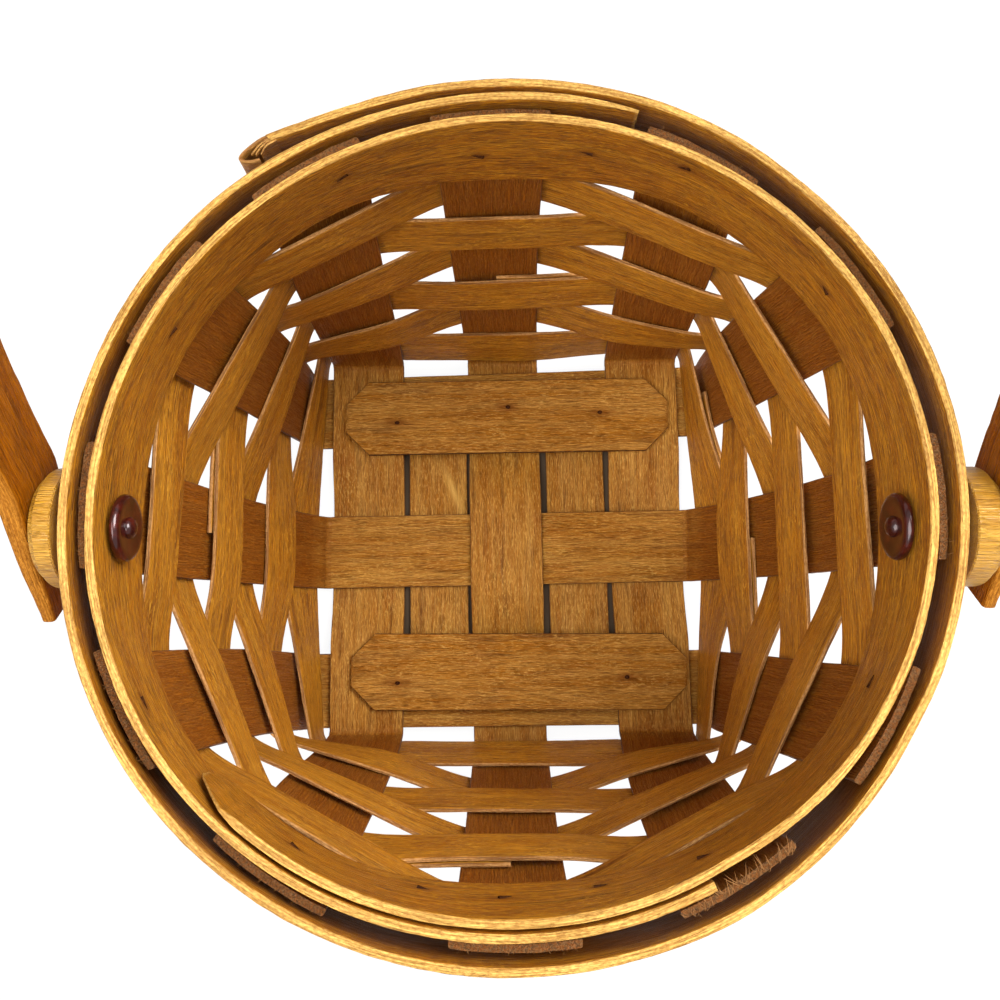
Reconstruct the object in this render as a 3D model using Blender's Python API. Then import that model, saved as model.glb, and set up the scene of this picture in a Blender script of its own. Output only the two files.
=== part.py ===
"""Measuring basket woven from hardwood splints, with a square base, a round rim and a swing handle.

Lengths are in metres and +Z is up. The origin is the middle of the base's underside.
X runs from the left handle rivet to the right one, and Y from the front wall to the back wall.
"""

import bpy
import bmesh
from collections import namedtuple
from math import atan2, cos, pi, radians, sin, sqrt, tan
from mathutils import Matrix, Vector

# Splints, and the air left between pieces that lie on each other
SPLINT_WIDTH = 0.01905
SPLINT_THICKNESS = 0.0013
FIT_GAP = 0.0003

# Base: the splints along Y, set out from the middle one by the slits between them
MIDDLE_Y_SPLINT_X = -0.0001
FILLER_WIDTH = 0.0156
FILLER_SETBACK = 0.0057
LEFT_FILLER_SLIT = 0.0005
RIGHT_FILLER_SLIT = 0.0014
LEFT_SPLINT_SLIT = 0.0011
RIGHT_SPLINT_SLIT = 0.0009
CORNER_GAP = 0.0048

# Base: the splints along X
MIDDLE_X_SPLINT_Y = -0.0003
BACK_SLIT = 0.0188
FRONT_SLIT = 0.0171

# Base: how far each splint is laid askew, as a slope against its axis
LEFT_SPLINT_SKEW = -0.008
LEFT_FILLER_SKEW = -0.014
MIDDLE_Y_SPLINT_SKEW = -0.019
RIGHT_FILLER_SKEW = -0.021
RIGHT_SPLINT_SKEW = -0.023
BACK_SPLINT_SKEW = 0.034
MIDDLE_X_SPLINT_SKEW = 0.018
FRONT_SPLINT_SKEW = 0.009
CROSSING_MARGIN = 0.0008
REST_PATCH_HALF = 0.004
SAG_MARGIN = 0.0004
FOLD_RADIUS = 0.002

# Battens nailed across the base, each set out from the splint that it lies on, with its tacks
BACK_BATTEN_LENGTH = 0.0848
BACK_BATTEN_WIDTH = 0.0196
BACK_BATTEN_X = 0.0001
BACK_BATTEN_SHIFT = -0.00305
BACK_BATTEN_TURN = radians(0.9)
BACK_BATTEN_TACKS = [(-0.0289, -0.0013), (0.0003, 0.0024), (0.0245, 0.0006)]
FRONT_BATTEN_LENGTH = 0.0856
FRONT_BATTEN_WIDTH = 0.0194
FRONT_BATTEN_X = 0.003
FRONT_BATTEN_SHIFT = 0.00465
FRONT_BATTEN_TACKS = [(-0.0309, -0.0028), (0.0275, -0.0014)]
BATTEN_THICKNESS = 0.0016
BATTEN_CLIP = 0.006
TACKED_LEVEL = 2

# Walls: the uprights lean and turn from the square base to the round rim. Each meets the rim at an
# angle in degrees. On its way it bows out or lags behind, and the weavers may draw it in. The first
# weaver draws in the feet of those that it passes outside.
WallEnd = namedtuple("WallEnd", "rim_angle bow draw setback")
LEFT_SPLINT_ENDS = [WallEnd(236.5, -0.6, 0.0, 0.0029), WallEnd(121.0, -0.6, 0.0, 0.002)]
MIDDLE_Y_SPLINT_ENDS = [WallEnd(270.2, 0.7, 0.0, 0.0), WallEnd(93.0, 1.1, 0.0, 0.0)]
RIGHT_SPLINT_ENDS = [WallEnd(301.0, 0.2, 0.0006, 0.0033), WallEnd(61.5, 0.0, 0.0, 0.0004)]
BACK_SPLINT_ENDS = [WallEnd(148.0, -0.6, 0.0, 0.0), WallEnd(34.0, -0.3, 0.0003, 0.0)]
MIDDLE_X_SPLINT_ENDS = [WallEnd(179.5, 0.7, 0.0, 0.0031), WallEnd(1.5, 1.0, 0.0, 0.003)]
FRONT_SPLINT_ENDS = [WallEnd(207.5, 0.6, 0.0008, 0.0), WallEnd(329.6, -0.1, 0.0005, 0.0)]
FOOT_EASE = 6
TURN_BOW = 0.7
CAMBER_START = 0.06
UPRIGHT_TOP_SETBACK = 0.0019

# Weavers: six hoops, each passing behind every second upright and lapped on itself
WEAVER_HEIGHT = 0.0127
WEAVER_THICKNESS = 0.0009
WEAVER_GAP = 0.0003
FIRST_WEAVER_LIFT = 0.0044
ROW_SLIT = 0.0007
WEAVER_MARGIN = 0.0004
STIFFNESS = 0.75
LAP_STARTS = [3, 4, 1, 10, 7, 6]

# Rim: a slightly oval ring of uprights, held between an inner and an outer band
RIM_CENTRE = Vector((0.0001, -0.0009, 0.0))
RIM_RADIUS = 0.0626
RIM_OVAL = 0.0009
RIM_OVAL_ANGLE = radians(14)
RIM_LEAN = 0.0015
RIM_CORNER = 0.0019
RIM_SLIT = 0.0029
BAND_HEIGHT = 0.0224
BAND_THICKNESS = 0.0015
BAND_LAYER_GAP = 0.0004
INNER_BAND_CLEARANCE = 0.00045
SCARF_TIP = 0.0006
SCARF_ANGLE = radians(10)

# Rim bands as they are wound: angle in degrees, layers lifted off the uprights, and slack beyond that
INNER_BAND_PATH = [(226, 1, 0.0), (301, 1, 0.0), (325, 0.4, 0.0), (355, 0, 0.0002), (405, 0, 0.0002),
                   (435, 0, 0.0), (658, 0, 0.0)]
OUTER_BAND_PATH = [(72, 0, 0.0), (100, 0, 0.0), (120, 0, 0.0003), (135, 0, 0.0006), (165, 0, 0.0003),
                   (240, 0, 0.0006), (285, 0, 0.001), (300, 0, 0.0012), (330, 0, 0.0002), (360, 0, 0.0007),
                   (405, 0, 0.0009), (430, 1, 0.0), (450, 1, 0.0003), (465, 1, 0.0005), (472, 1, 0.00075),
                   (478.5, 1, 0.00135), (483.6, 1, 0.0023)]

# Thin strip that carries on from the outer band's loose end and loops back in behind it
END_STRIP_THICKNESS = 0.001
END_STRIP_HEIGHT = 0.018
END_STRIP_DROP = 0.0003
END_LOOP_REACH = 0.0042
END_LOOP_NOSE_DROP = 0.0008
END_LOOP_TURN = radians(155)

# Rim tacks: angle in degrees and height above the rim's lower edge, driven in from outside
RIM_TACKS = [(95.0, 0.0103), (77.9, 0.0127), (63.0, 0.0176), (116.5, 0.0149), (151.6, 0.0122),
             (207.4, 0.0159), (334.5, 0.0108), (35.4, 0.0124), (237.0, 0.0128), (256.4, 0.008),
             (268.6, 0.0099), (283.0, 0.0081), (298.7, 0.0129)]
TACK_SHANK_RADIUS = 0.0005
TACK_CLEARANCE = 0.0002
RIM_TACK_HEAD_RADIUS = 0.0018
BATTEN_TACK_HEAD_RADIUS = 0.0012
TACK_HEAD_HEIGHT = 0.0007
CLINCH_LENGTH = 0.0017

# Handle, its spacers and its rivets
PIVOT_Y = -0.0032
PIVOT_BELOW_RIM = 0.0095
SPACER_RADIUS = 0.0093
LEFT_SPACER_THICKNESS = 0.0034
RIGHT_SPACER_THICKNESS = 0.0046
SPACER_BEVEL = 0.0011
SPACER_LEAN = 0.4 * RIM_LEAN / BAND_HEIGHT
RIVET_RADIUS = 0.0016
RIVET_CLEARANCE = 0.0003
RIVET_HEAD_RADIUS = 0.0044
RIVET_HEAD_HEIGHT = 0.0016
PEEN_RADIUS = 0.0029
PEEN_HEIGHT = 0.0013
BURR_RADIUS = 0.0053
BURR_THICKNESS = 0.0012
HANDLE_WIDTH = 0.0143
HANDLE_THICKNESS = 0.0034
HANDLE_END_THICKNESS = 0.0023
LEFT_HANDLE_TAIL = 0.0129
RIGHT_HANDLE_TAIL = 0.0105
HANDLE_CHAMFER = 0.0006
ARM_LENGTH = 0.045
LEFT_ARM_FLARE = 0.0036
RIGHT_ARM_FLARE = 0.0008
HANDLE_LEAN = radians(52)

# Facets
FOLD_ANGLES = [radians(angle) for angle in (0, 25, 50, 75)]
BEND_STEPS = 6
CHANGE_STEPS = 3
LOOP_STEPS = 8
BAND_STEP = radians(4)
ARCH_STEPS = 24
ARM_LIFTS = [0.0, SPACER_RADIUS, 0.018, 0.027, 0.036]
ROUND_SIDES = 24
HOLE_SIDES = 12
TACK_SIDES = 6
CUT_OVERRUN = 0.003

# Heights that follow from the stack of pieces
LEVEL_RISE = SPLINT_THICKNESS + FIT_GAP
BASE_TOP = 2 * LEVEL_RISE + SPLINT_THICKNESS
ROW_PITCH = WEAVER_HEIGHT + ROW_SLIT
RIM_BOTTOM = FIRST_WEAVER_LIFT + len(LAP_STARTS) * ROW_PITCH - ROW_SLIT + RIM_SLIT
RIM_TOP = RIM_BOTTOM + BAND_HEIGHT
UPRIGHT_TOP = RIM_TOP - UPRIGHT_TOP_SETBACK
PIVOT_Z = RIM_TOP - PIVOT_BELOW_RIM

# Places across the base that follow from the widths and slits
LEFT_FILLER_X = MIDDLE_Y_SPLINT_X - SPLINT_WIDTH / 2 - LEFT_FILLER_SLIT - FILLER_WIDTH / 2
RIGHT_FILLER_X = MIDDLE_Y_SPLINT_X + SPLINT_WIDTH / 2 + RIGHT_FILLER_SLIT + FILLER_WIDTH / 2
LEFT_SPLINT_X = LEFT_FILLER_X - FILLER_WIDTH / 2 - LEFT_SPLINT_SLIT - SPLINT_WIDTH / 2
RIGHT_SPLINT_X = RIGHT_FILLER_X + FILLER_WIDTH / 2 + RIGHT_SPLINT_SLIT + SPLINT_WIDTH / 2
BACK_SPLINT_Y = MIDDLE_X_SPLINT_Y + SPLINT_WIDTH + BACK_SLIT
FRONT_SPLINT_Y = MIDDLE_X_SPLINT_Y - SPLINT_WIDTH - FRONT_SLIT
BASE_HALF = RIGHT_SPLINT_X + SPLINT_WIDTH / 2 + CORNER_GAP
FLAT_HALF = BASE_HALF - FOLD_RADIUS

BattenSize = namedtuple("BattenSize", "length width x y turn tacks")
BACK_BATTEN = BattenSize(BACK_BATTEN_LENGTH, BACK_BATTEN_WIDTH, BACK_BATTEN_X,
                         BACK_SPLINT_Y + BACK_BATTEN_SHIFT, BACK_BATTEN_TURN, BACK_BATTEN_TACKS)
FRONT_BATTEN = BattenSize(FRONT_BATTEN_LENGTH, FRONT_BATTEN_WIDTH, FRONT_BATTEN_X,
                          FRONT_SPLINT_Y + FRONT_BATTEN_SHIFT, 0.0, FRONT_BATTEN_TACKS)

UP = Vector((0, 0, 1))
ALONG_X = Vector((1, 0, 0))
ALONG_Y = Vector((0, 1, 0))

# A splint runs along one axis, lies at a place on the other, and may be askew. Its plateaus are the
# stretches of the base where it keeps one level. Its ends are the wall ends of its two uprights.
Splint = namedtuple("Splint", "name run side place skew plateaus ends")
Upright = namedtuple("Upright", "foot facing rim_angle fold_top bow draw setback")


def smooth(share):
    """Ease from 0 to 1 and come to rest at both."""
    share = min(max(share, 0.0), 1.0)
    return share * share * (3 - 2 * share)


def level_middle(level):
    """Height of the middle of a splint's thickness on one of the base's three levels."""
    return SPLINT_THICKNESS / 2 + (level - 1) * LEVEL_RISE


def new_material(name, colour, roughness, metallic=0.0):
    """One Principled material for one kind of piece."""
    material = bpy.data.materials.new(name)
    material.use_nodes = True
    shader = material.node_tree.nodes["Principled BSDF"]
    shader.inputs["Base Color"].default_value = (*colour, 1.0)
    shader.inputs["Roughness"].default_value = roughness
    shader.inputs["Metallic"].default_value = metallic
    material.diffuse_color = (*colour, 1.0)
    return material


def new_object(name, mesh, material):
    """Turn a finished bmesh into a named object with its faces pointing out."""
    bmesh.ops.recalc_face_normals(mesh, faces=mesh.faces)
    data = bpy.data.meshes.new(name)
    mesh.to_mesh(data)
    mesh.free()
    data.materials.append(material)
    data.shade_smooth()
    data.set_sharp_from_angle(angle=radians(35))
    piece = bpy.data.objects.new(name, data)
    bpy.context.scene.collection.objects.link(piece)
    return piece


def loft(mesh, rings, closed=False):
    """Skin a row of like rings, each a list of (point, is it on the piece's middle line).

    A face that touches the middle line is split from its lower point there, on uprights and weavers
    alike, so that a weaver stays parallel to the twisted upright that it lies on.
    """
    rows = [[mesh.verts.new(point) for point, middle in ring] for ring in rings]
    middles = {vert for row, ring in zip(rows, rings) for vert, corner in zip(row, ring) if corner[1]}
    count = len(rows[0])
    pairs = list(zip(rows, rows[1:]))
    if closed:
        pairs.append((rows[-1], rows[0]))
    for row, after in pairs:
        for column in range(count):
            beside = (column + 1) % count
            quad = [row[column], row[beside], after[beside], after[column]]
            held = [corner for corner in range(4) if quad[corner] in middles]
            if len(held) == 2:
                low = min(held, key=lambda corner: quad[corner].co.z)
                quad = quad[low:] + quad[:low]
                mesh.faces.new([quad[0], quad[1], quad[2]])
                mesh.faces.new([quad[0], quad[2], quad[3]])
            else:
                mesh.faces.new(quad)
    if closed:
        return
    for row in (rows[0], rows[-1]):
        if count == 6 and row[1] in middles:
            mesh.faces.new([row[0], row[1], row[4], row[5]])
            mesh.faces.new([row[1], row[2], row[3], row[4]])
        else:
            mesh.faces.new(row)


# Rim ring, which the uprights, the bands and the tacks share

def ring_radius(angle, height):
    """Radius of the middle of the uprights' thickness, seen from RIM_CENTRE."""
    oval = RIM_OVAL * cos(2 * (angle - RIM_OVAL_ANGLE))
    lean = RIM_LEAN + RIM_CORNER * (1 - cos(2 * angle) ** 4)
    return RIM_RADIUS + oval + lean * (RIM_TOP - height) / BAND_HEIGHT


def rim_point(angle, height, offset=0.0):
    """Point at an angle and a height, offset outwards from the uprights' ring."""
    radius = ring_radius(angle, height) + offset
    return RIM_CENTRE + Vector((radius * cos(angle), radius * sin(angle), height))


def path_values(path, angle):
    """Layers and slack of a band at an angle, between the points of its path."""
    for before, after in zip(path, path[1:]):
        if angle <= radians(after[0]):
            break
    share = (angle - radians(before[0])) / radians(after[0] - before[0])
    return [before[value] + share * (after[value] - before[value]) for value in (1, 2)]


def inner_offset(angle):
    """Offset of the inner band's middle from the uprights' ring, which is inwards and so negative."""
    layers, slack = path_values(INNER_BAND_PATH, angle)
    seat = SPLINT_THICKNESS / 2 + INNER_BAND_CLEARANCE + BAND_THICKNESS / 2
    return -(seat + layers * (BAND_THICKNESS + BAND_LAYER_GAP) + slack)


def outer_offset(angle):
    """Offset of the outer band's middle from the uprights' ring."""
    layers, slack = path_values(OUTER_BAND_PATH, angle)
    seat = SPLINT_THICKNESS / 2 + FIT_GAP + BAND_THICKNESS / 2
    return seat + layers * (BAND_THICKNESS + BAND_LAYER_GAP) + slack


def passes(path, angle):
    """The angles at which a band that laps on itself passes one direction."""
    turns = [angle + turn * 2 * pi for turn in range(3)]
    return [turn for turn in turns if radians(path[0][0]) <= turn <= radians(path[-1][0])]


def inner_face(angle):
    """Offset of the innermost face of the rim at an angle."""
    return min(inner_offset(turn) for turn in passes(INNER_BAND_PATH, angle)) - BAND_THICKNESS / 2


def outer_face(angle):
    """Offset of the outermost face of the rim at an angle."""
    return max(outer_offset(turn) for turn in passes(OUTER_BAND_PATH, angle)) + BAND_THICKNESS / 2


# Uprights and the splints that they are the ends of

def upright_section(upright, height):
    """Middle, outward direction, clockwise direction and camber of an upright at a height."""
    rise = min(max((height - upright.fold_top) / (RIM_BOTTOM - upright.fold_top), 0.0), 1.0)
    turn = (upright.rim_angle - upright.facing + pi) % (2 * pi) - pi
    facing = upright.facing + (rise + TURN_BOW * rise * (1 - rise)) * turn
    share = rise + upright.bow * rise * (1 - rise)
    eased = upright.setback * (1 - (1 - rise) ** FOOT_EASE)
    toe = upright.foot + Vector((cos(upright.facing), sin(upright.facing), 0)) * eased
    middle = toe.lerp(rim_point(upright.rim_angle, max(height, RIM_BOTTOM)), share)
    middle.z = height
    outward = Vector((cos(facing), sin(facing), 0))
    middle -= outward * upright.draw * 4 * rise * (1 - rise)
    clockwise = Vector((sin(facing), -cos(facing), 0))
    sagitta = (SPLINT_WIDTH / 2) ** 2 / (2 * RIM_RADIUS)
    camber = sagitta * smooth((height - CAMBER_START) / (RIM_BOTTOM - CAMBER_START))
    return middle, outward, clockwise, camber


def splint_uprights(splint):
    """The two upright ends of a splint, the first at the low end of its run."""
    uprights = []
    plateaus = splint.plateaus[0], splint.plateaus[-1]
    for side, plateau, end in zip((-1, 1), plateaus, splint.ends):
        along = side * (BASE_HALF - end.setback)
        foot = splint.run * along + splint.side * (splint.place + splint.skew * along)
        facing = atan2(side * splint.run.y, side * splint.run.x)
        fold_top = level_middle(plateau[2]) + FOLD_RADIUS
        uprights.append(Upright(foot, facing, radians(end.rim_angle), fold_top, end.bow, end.draw,
                                end.setback))
    return uprights


def splint_ring(middle, across, inward, half_width, camber=0.0):
    """Six corners of a splint's section, with the pair on its middle line marked."""
    half = inward * SPLINT_THICKNESS / 2
    left = middle - across * half_width + inward * camber
    right = middle + across * half_width + inward * camber
    return [(left - half, False), (middle - half, True), (right - half, False),
            (right + half, False), (middle + half, True), (left + half, False)]


def wall_rings(upright, side):
    """Rings up an upright, from its fold to its cut end between the rim bands."""
    row_edges = [FIRST_WEAVER_LIFT + row * ROW_PITCH for row in range(len(LAP_STARTS))]
    heights = [height for height in row_edges if height > upright.fold_top + FOLD_RADIUS / 2]
    rings = []
    for height in [upright.fold_top, *heights, RIM_BOTTOM - RIM_SLIT, RIM_BOTTOM, UPRIGHT_TOP]:
        middle, outward, clockwise, camber = upright_section(upright, height)
        across = clockwise if clockwise.dot(side) > 0 else -clockwise
        rings.append(splint_ring(middle, across, -outward, SPLINT_WIDTH / 2, camber))
    return rings


def fold_rings(upright, outward, side):
    """Rings round the bend between the base and an upright."""
    rings = []
    for angle in FOLD_ANGLES:
        middle = upright.foot - outward * FOLD_RADIUS * (1 - sin(angle))
        middle.z = upright.fold_top - FOLD_RADIUS * cos(angle)
        rings.append(splint_ring(middle, side, UP * cos(angle) - outward * sin(angle), SPLINT_WIDTH / 2))
    return rings


def base_rings(splint, half_width):
    """Rings along the base, level on each plateau and eased between one and the next."""
    stations = []
    for before, after in zip(splint.plateaus, splint.plateaus[1:]):
        low, high = level_middle(before[2]), level_middle(after[2])
        for step in range(BEND_STEPS + 1):
            share = step / BEND_STEPS
            along = before[1] + share * (after[0] - before[1])
            slope = 6 * share * (1 - share) * (high - low) / (after[0] - before[1])
            stations.append((along, low + smooth(share) * (high - low), slope))
    rings = []
    for along, height, slope in stations:
        middle = splint.run * along + splint.side * (splint.place + splint.skew * along) + UP * height
        inward = (UP - splint.run * slope).normalized()
        rings.append(splint_ring(middle, splint.side, inward, half_width))
    return rings


def make_splint(splint, material):
    """A long splint: one upright, the base, and the other upright, all one strip."""
    first, last = splint_uprights(splint)
    mesh = bmesh.new()
    rings = wall_rings(first, splint.side)[::-1]
    rings += fold_rings(first, -splint.run, splint.side)[::-1]
    rings += base_rings(splint, SPLINT_WIDTH / 2)
    rings += fold_rings(last, splint.run, splint.side)
    rings += wall_rings(last, splint.side)
    loft(mesh, rings)
    return new_object(splint.name, mesh, material)


def make_filler(name, place, skew, material):
    """A narrow splint that fills the base between two long ones and ends inside the wall."""
    half_length = BASE_HALF - FILLER_SETBACK
    mesh = bmesh.new()
    rings = []
    for along in (-half_length, half_length):
        middle = ALONG_Y * along + ALONG_X * (place + skew * along) + UP * level_middle(1)
        rings.append(splint_ring(middle, ALONG_X, UP, FILLER_WIDTH / 2))
    loft(mesh, rings)
    return new_object(name, mesh, material)


# Weavers

def bent(start, start_way, end, end_way, share):
    """Point and direction on a curve that leaves its start one way and comes to its end another way."""
    length = (end - start).length
    ease = smooth(share)
    leave = length * share * (1 - share) * (1 - share)
    arrive = length * share * share * (1 - share)
    point = start.lerp(end, ease) + start_way * leave - end_way * arrive
    direction = ((end - start) * 6 * share * (1 - share)
                 + start_way * length * (1 - share) * (1 - 3 * share)
                 - end_way * length * share * (2 - 3 * share))
    return point, direction.normalized()


def weaver_corners(stops, height):
    """Where a weaver comes to and leaves each upright, as pairs of (point, the weaver's direction).

    A weaver is stiff. Inside an upright it keeps near the straight line between its neighbours. Its
    direction follows the gap beside the upright, so it bulges off those that it passes behind. It
    never bulges into an upright.
    """
    reach = SPLINT_WIDTH / 2 + WEAVER_MARGIN
    places = []
    for upright, offset, _ in stops:
        middle, outward, clockwise, camber = upright_section(upright, height)
        tilt = atan2(camber, SPLINT_WIDTH / 2)
        pair = []
        for part in (-1, 1):
            normal = outward * cos(tilt) + clockwise * part * sin(tilt)
            pair.append(middle + (clockwise * part - outward * tan(tilt)) * reach + normal * offset)
        places.append((pair, outward, offset))
    for before, (pair, outward, offset), after in zip(places, places[1:], places[2:]):
        start, chord = before[0][1], after[0][0] - before[0][1]
        for part in range(2 if offset < 0 else 0):
            straight = start + chord * (pair[part] - start).dot(chord) / chord.dot(chord)
            if (straight - pair[part]).dot(outward) < 0:
                pair[part] = pair[part].lerp(straight, STIFFNESS)
    corners = []
    for index, (pair, outward, offset) in enumerate(places):
        on_upright = (pair[1] - pair[0]).normalized()
        ways = []
        for part, beside in ((-1, index - 1), (1, index + 1)):
            way = on_upright
            if 0 <= beside < len(places):
                gap = pair[0] - places[beside][0][1] if part < 0 else places[beside][0][0] - pair[1]
                way = on_upright.lerp(gap.normalized(), STIFFNESS).normalized()
                if part * offset * way.dot(outward) > 0:
                    way = on_upright
            ways.append(way)
        corners.append(list(zip(pair, ways)))
    return corners


def weaver_line(stops, height):
    """Middle line of a weaver at a height, as (point, outward normal, is it an upright's middle).

    A stop is an upright, the offset at which the weaver passes it, and the parts of its width that
    the weaver covers: -1, 0 and 1 are its first edge, its middle and its last edge.
    """
    line = []
    before = None
    for (_, _, parts), (first, last) in zip(stops, weaver_corners(stops, height)):
        if before:
            shares = [step / CHANGE_STEPS for step in range(1, CHANGE_STEPS)]
            line += [(*bent(*before, *first, share), False) for share in shares]
        line += [(*bent(*first, *last, (part + 1) / 2), part == 0) for part in parts]
        before = last
    return [(point, Vector((-way.y, way.x, 0)), middle) for point, way, middle in line]


def make_weaver(row, uprights, material):
    """One hoop of the wall, numbered from the base, with its two ends hidden where it laps."""
    lap = LAP_STARTS[row]
    seat = (SPLINT_THICKNESS + WEAVER_THICKNESS) / 2 + WEAVER_GAP
    lapped = seat + WEAVER_THICKNESS + FIT_GAP
    stops = []
    for step in range(len(uprights) + 2):
        index = (lap + step) % len(uprights)
        side = 1 if (index + row) % 2 == 0 else -1
        offset = side * (lapped if step in (1, len(uprights)) else seat)
        parts = [-1, 0, 1] if side < 0 else [-1, -0.5, 0, 0.5, 1]
        if step == 0:
            parts = [part for part in parts if part >= 0]
        if step == len(uprights) + 1:
            parts = [part for part in parts if part <= 0]
        stops.append((uprights[index], offset, parts))
    bottom = FIRST_WEAVER_LIFT + row * ROW_PITCH
    rings = []
    lines = zip(weaver_line(stops, bottom), weaver_line(stops, bottom + WEAVER_HEIGHT))
    for (low, low_normal, middle), (high, high_normal, _) in lines:
        low_half = low_normal * WEAVER_THICKNESS / 2
        high_half = high_normal * WEAVER_THICKNESS / 2
        rings.append([(low + low_half, middle), (high + high_half, middle),
                      (high - high_half, middle), (low - low_half, middle)])
    mesh = bmesh.new()
    loft(mesh, rings)
    return new_object(f"weaver_row_{row + 1}", mesh, material)


# Rim bands

def make_band(name, path, offset_at, material):
    """A bent band that laps on itself, with its first end shaved to a scarf."""
    first, last = radians(path[0][0]), radians(path[-1][0])
    steps = round((last - first) / BAND_STEP)
    rings = []
    for step in range(steps + 1):
        angle = first + step / steps * (last - first)
        scarf = min((angle - first) / SCARF_ANGLE, 1.0)
        half = (SCARF_TIP + scarf * (BAND_THICKNESS - SCARF_TIP)) / 2
        middle = offset_at(angle)
        rings.append([(rim_point(angle, RIM_BOTTOM, middle - half), False),
                      (rim_point(angle, RIM_TOP, middle - half), False),
                      (rim_point(angle, RIM_TOP, middle + half), False),
                      (rim_point(angle, RIM_BOTTOM, middle + half), False)])
    mesh = bmesh.new()
    loft(mesh, rings)
    return new_object(name, mesh, material)


def make_end_strip(material):
    """A thin strip flush with the outer band's outer face, which loops back onto the layer below.

    The loop is two quarter ellipses that meet at its nose.
    """
    band_end = radians(OUTER_BAND_PATH[-1][0])
    under_face = outer_offset(band_end - 2 * pi) + BAND_THICKNESS / 2
    start = outer_offset(band_end) + (BAND_THICKNESS - END_STRIP_THICKNESS) / 2
    nose = start - END_LOOP_NOSE_DROP
    fall = (nose - under_face - 2 * FIT_GAP - END_STRIP_THICKNESS / 2) / -cos(END_LOOP_TURN)
    top = RIM_TOP - END_STRIP_DROP
    rings = []
    for step in range(LOOP_STEPS + 1):
        turn = END_LOOP_TURN * step / LOOP_STEPS
        height = END_LOOP_NOSE_DROP if cos(turn) > 0 else fall
        facing = Vector((sin(turn) / END_LOOP_REACH, cos(turn) / height)).normalized()
        ring = []
        for level, side in ((top - END_STRIP_HEIGHT, -1), (top, -1), (top, 1), (top - END_STRIP_HEIGHT, 1)):
            half = side * END_STRIP_THICKNESS / 2
            onward = FIT_GAP + END_LOOP_REACH * sin(turn) + half * facing.x
            offset = nose + height * cos(turn) + half * facing.y
            ring.append((rim_point(band_end + onward / RIM_RADIUS, level, offset), False))
        rings.append(ring)
    mesh = bmesh.new()
    loft(mesh, rings)
    return new_object("rim_end_strip", mesh, material)


# Tacks

def tack_rings(place, head_radius, length, clinch):
    """A tack along the local Z of a place, its head on the surface and its tip clinched if asked."""
    shank = TACK_SHANK_RADIUS
    profile = [(TACK_HEAD_HEIGHT, 0.0, 0.0, head_radius * 0.6),
               (TACK_HEAD_HEIGHT * 0.4, 0.0, 0.0, head_radius),
               (0.0, 0.0, 0.0, head_radius), (0.0, 0.0, 0.0, shank)]
    if clinch:
        profile += [(-length, 0.0, 0.0, shank), (-length - shank, shank, radians(50), shank),
                    (-length - shank, CLINCH_LENGTH, radians(95), shank * 0.5)]
    else:
        profile += [(-length + shank, 0.0, 0.0, shank), (-length, 0.0, 0.0, shank * 0.3)]
    rings = []
    for height, along, bend, radius in profile:
        ring = []
        for corner in range(TACK_SIDES):
            turn = 2 * pi * corner / TACK_SIDES
            flat = radius * cos(turn)
            point = Vector((along + flat * cos(bend), radius * sin(turn), height + flat * sin(bend)))
            ring.append((place @ point, False))
        rings.append(ring)
    return rings


def rim_tack_place(angle, lift):
    """Matrix of a rim tack: local Z points outwards and local X down, at the rim's outer face."""
    outward = Vector((cos(angle), sin(angle), 0))
    onward = Vector((-sin(angle), cos(angle), 0))
    spot = rim_point(angle, RIM_BOTTOM + lift, outer_face(angle) + FIT_GAP)
    place = Matrix((-UP, onward, outward)).transposed().to_4x4()
    place.translation = spot
    return place


def make_rim_tacks(material):
    """Tacks through both bands and what lies between them."""
    for number, (degrees_round, lift) in enumerate(RIM_TACKS, 1):
        angle = radians(degrees_round)
        length = outer_face(angle) - inner_face(angle) + 2 * FIT_GAP
        mesh = bmesh.new()
        loft(mesh, tack_rings(rim_tack_place(angle, lift), RIM_TACK_HEAD_RADIUS, length, True))
        new_object(f"rim_tack_{number:02d}", mesh, material)


def batten_place(batten):
    """Matrix that sets a batten out on the base."""
    return Matrix.Translation((batten.x, batten.y, 0)) @ Matrix.Rotation(batten.turn, 4, "Z")


def batten_tack_places():
    """Places of the batten tacks, with local Z up, on the battens' upper faces."""
    top = BASE_TOP + FIT_GAP + BATTEN_THICKNESS + FIT_GAP
    return [batten_place(batten) @ Matrix.Translation((x, y, top))
            for batten in (BACK_BATTEN, FRONT_BATTEN) for x, y in batten.tacks]


def make_batten_tacks(material):
    """Short tacks through the battens into the splints under them."""
    for number, place in enumerate(batten_tack_places(), 1):
        length = place.translation.z - level_middle(TACKED_LEVEL) + SPLINT_THICKNESS / 4
        mesh = bmesh.new()
        loft(mesh, tack_rings(place, BATTEN_TACK_HEAD_RADIUS, length, False))
        new_object(f"batten_tack_{number}", mesh, material)


# Battens

def make_batten(name, batten, material):
    """A thin board with its four corners clipped."""
    half_length, half_width = batten.length / 2, batten.width / 2
    clip = BATTEN_CLIP
    corners = []
    for x_sign, y_sign in ((1, 1), (-1, 1), (-1, -1), (1, -1)):
        pair = [(half_length - clip, half_width), (half_length, half_width - clip)]
        if x_sign != y_sign:
            pair.reverse()
        corners += [(x_sign * x, y_sign * y) for x, y in pair[::-1]]
    bottom = BASE_TOP + FIT_GAP
    mesh = bmesh.new()
    rings = [[(batten_place(batten) @ Vector((x, y, height)), False) for x, y in corners]
             for height in (bottom, bottom + BATTEN_THICKNESS)]
    loft(mesh, rings)
    return new_object(name, mesh, material)


# Turned pieces on the handle's axis: spacers, burrs and rivets

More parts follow.
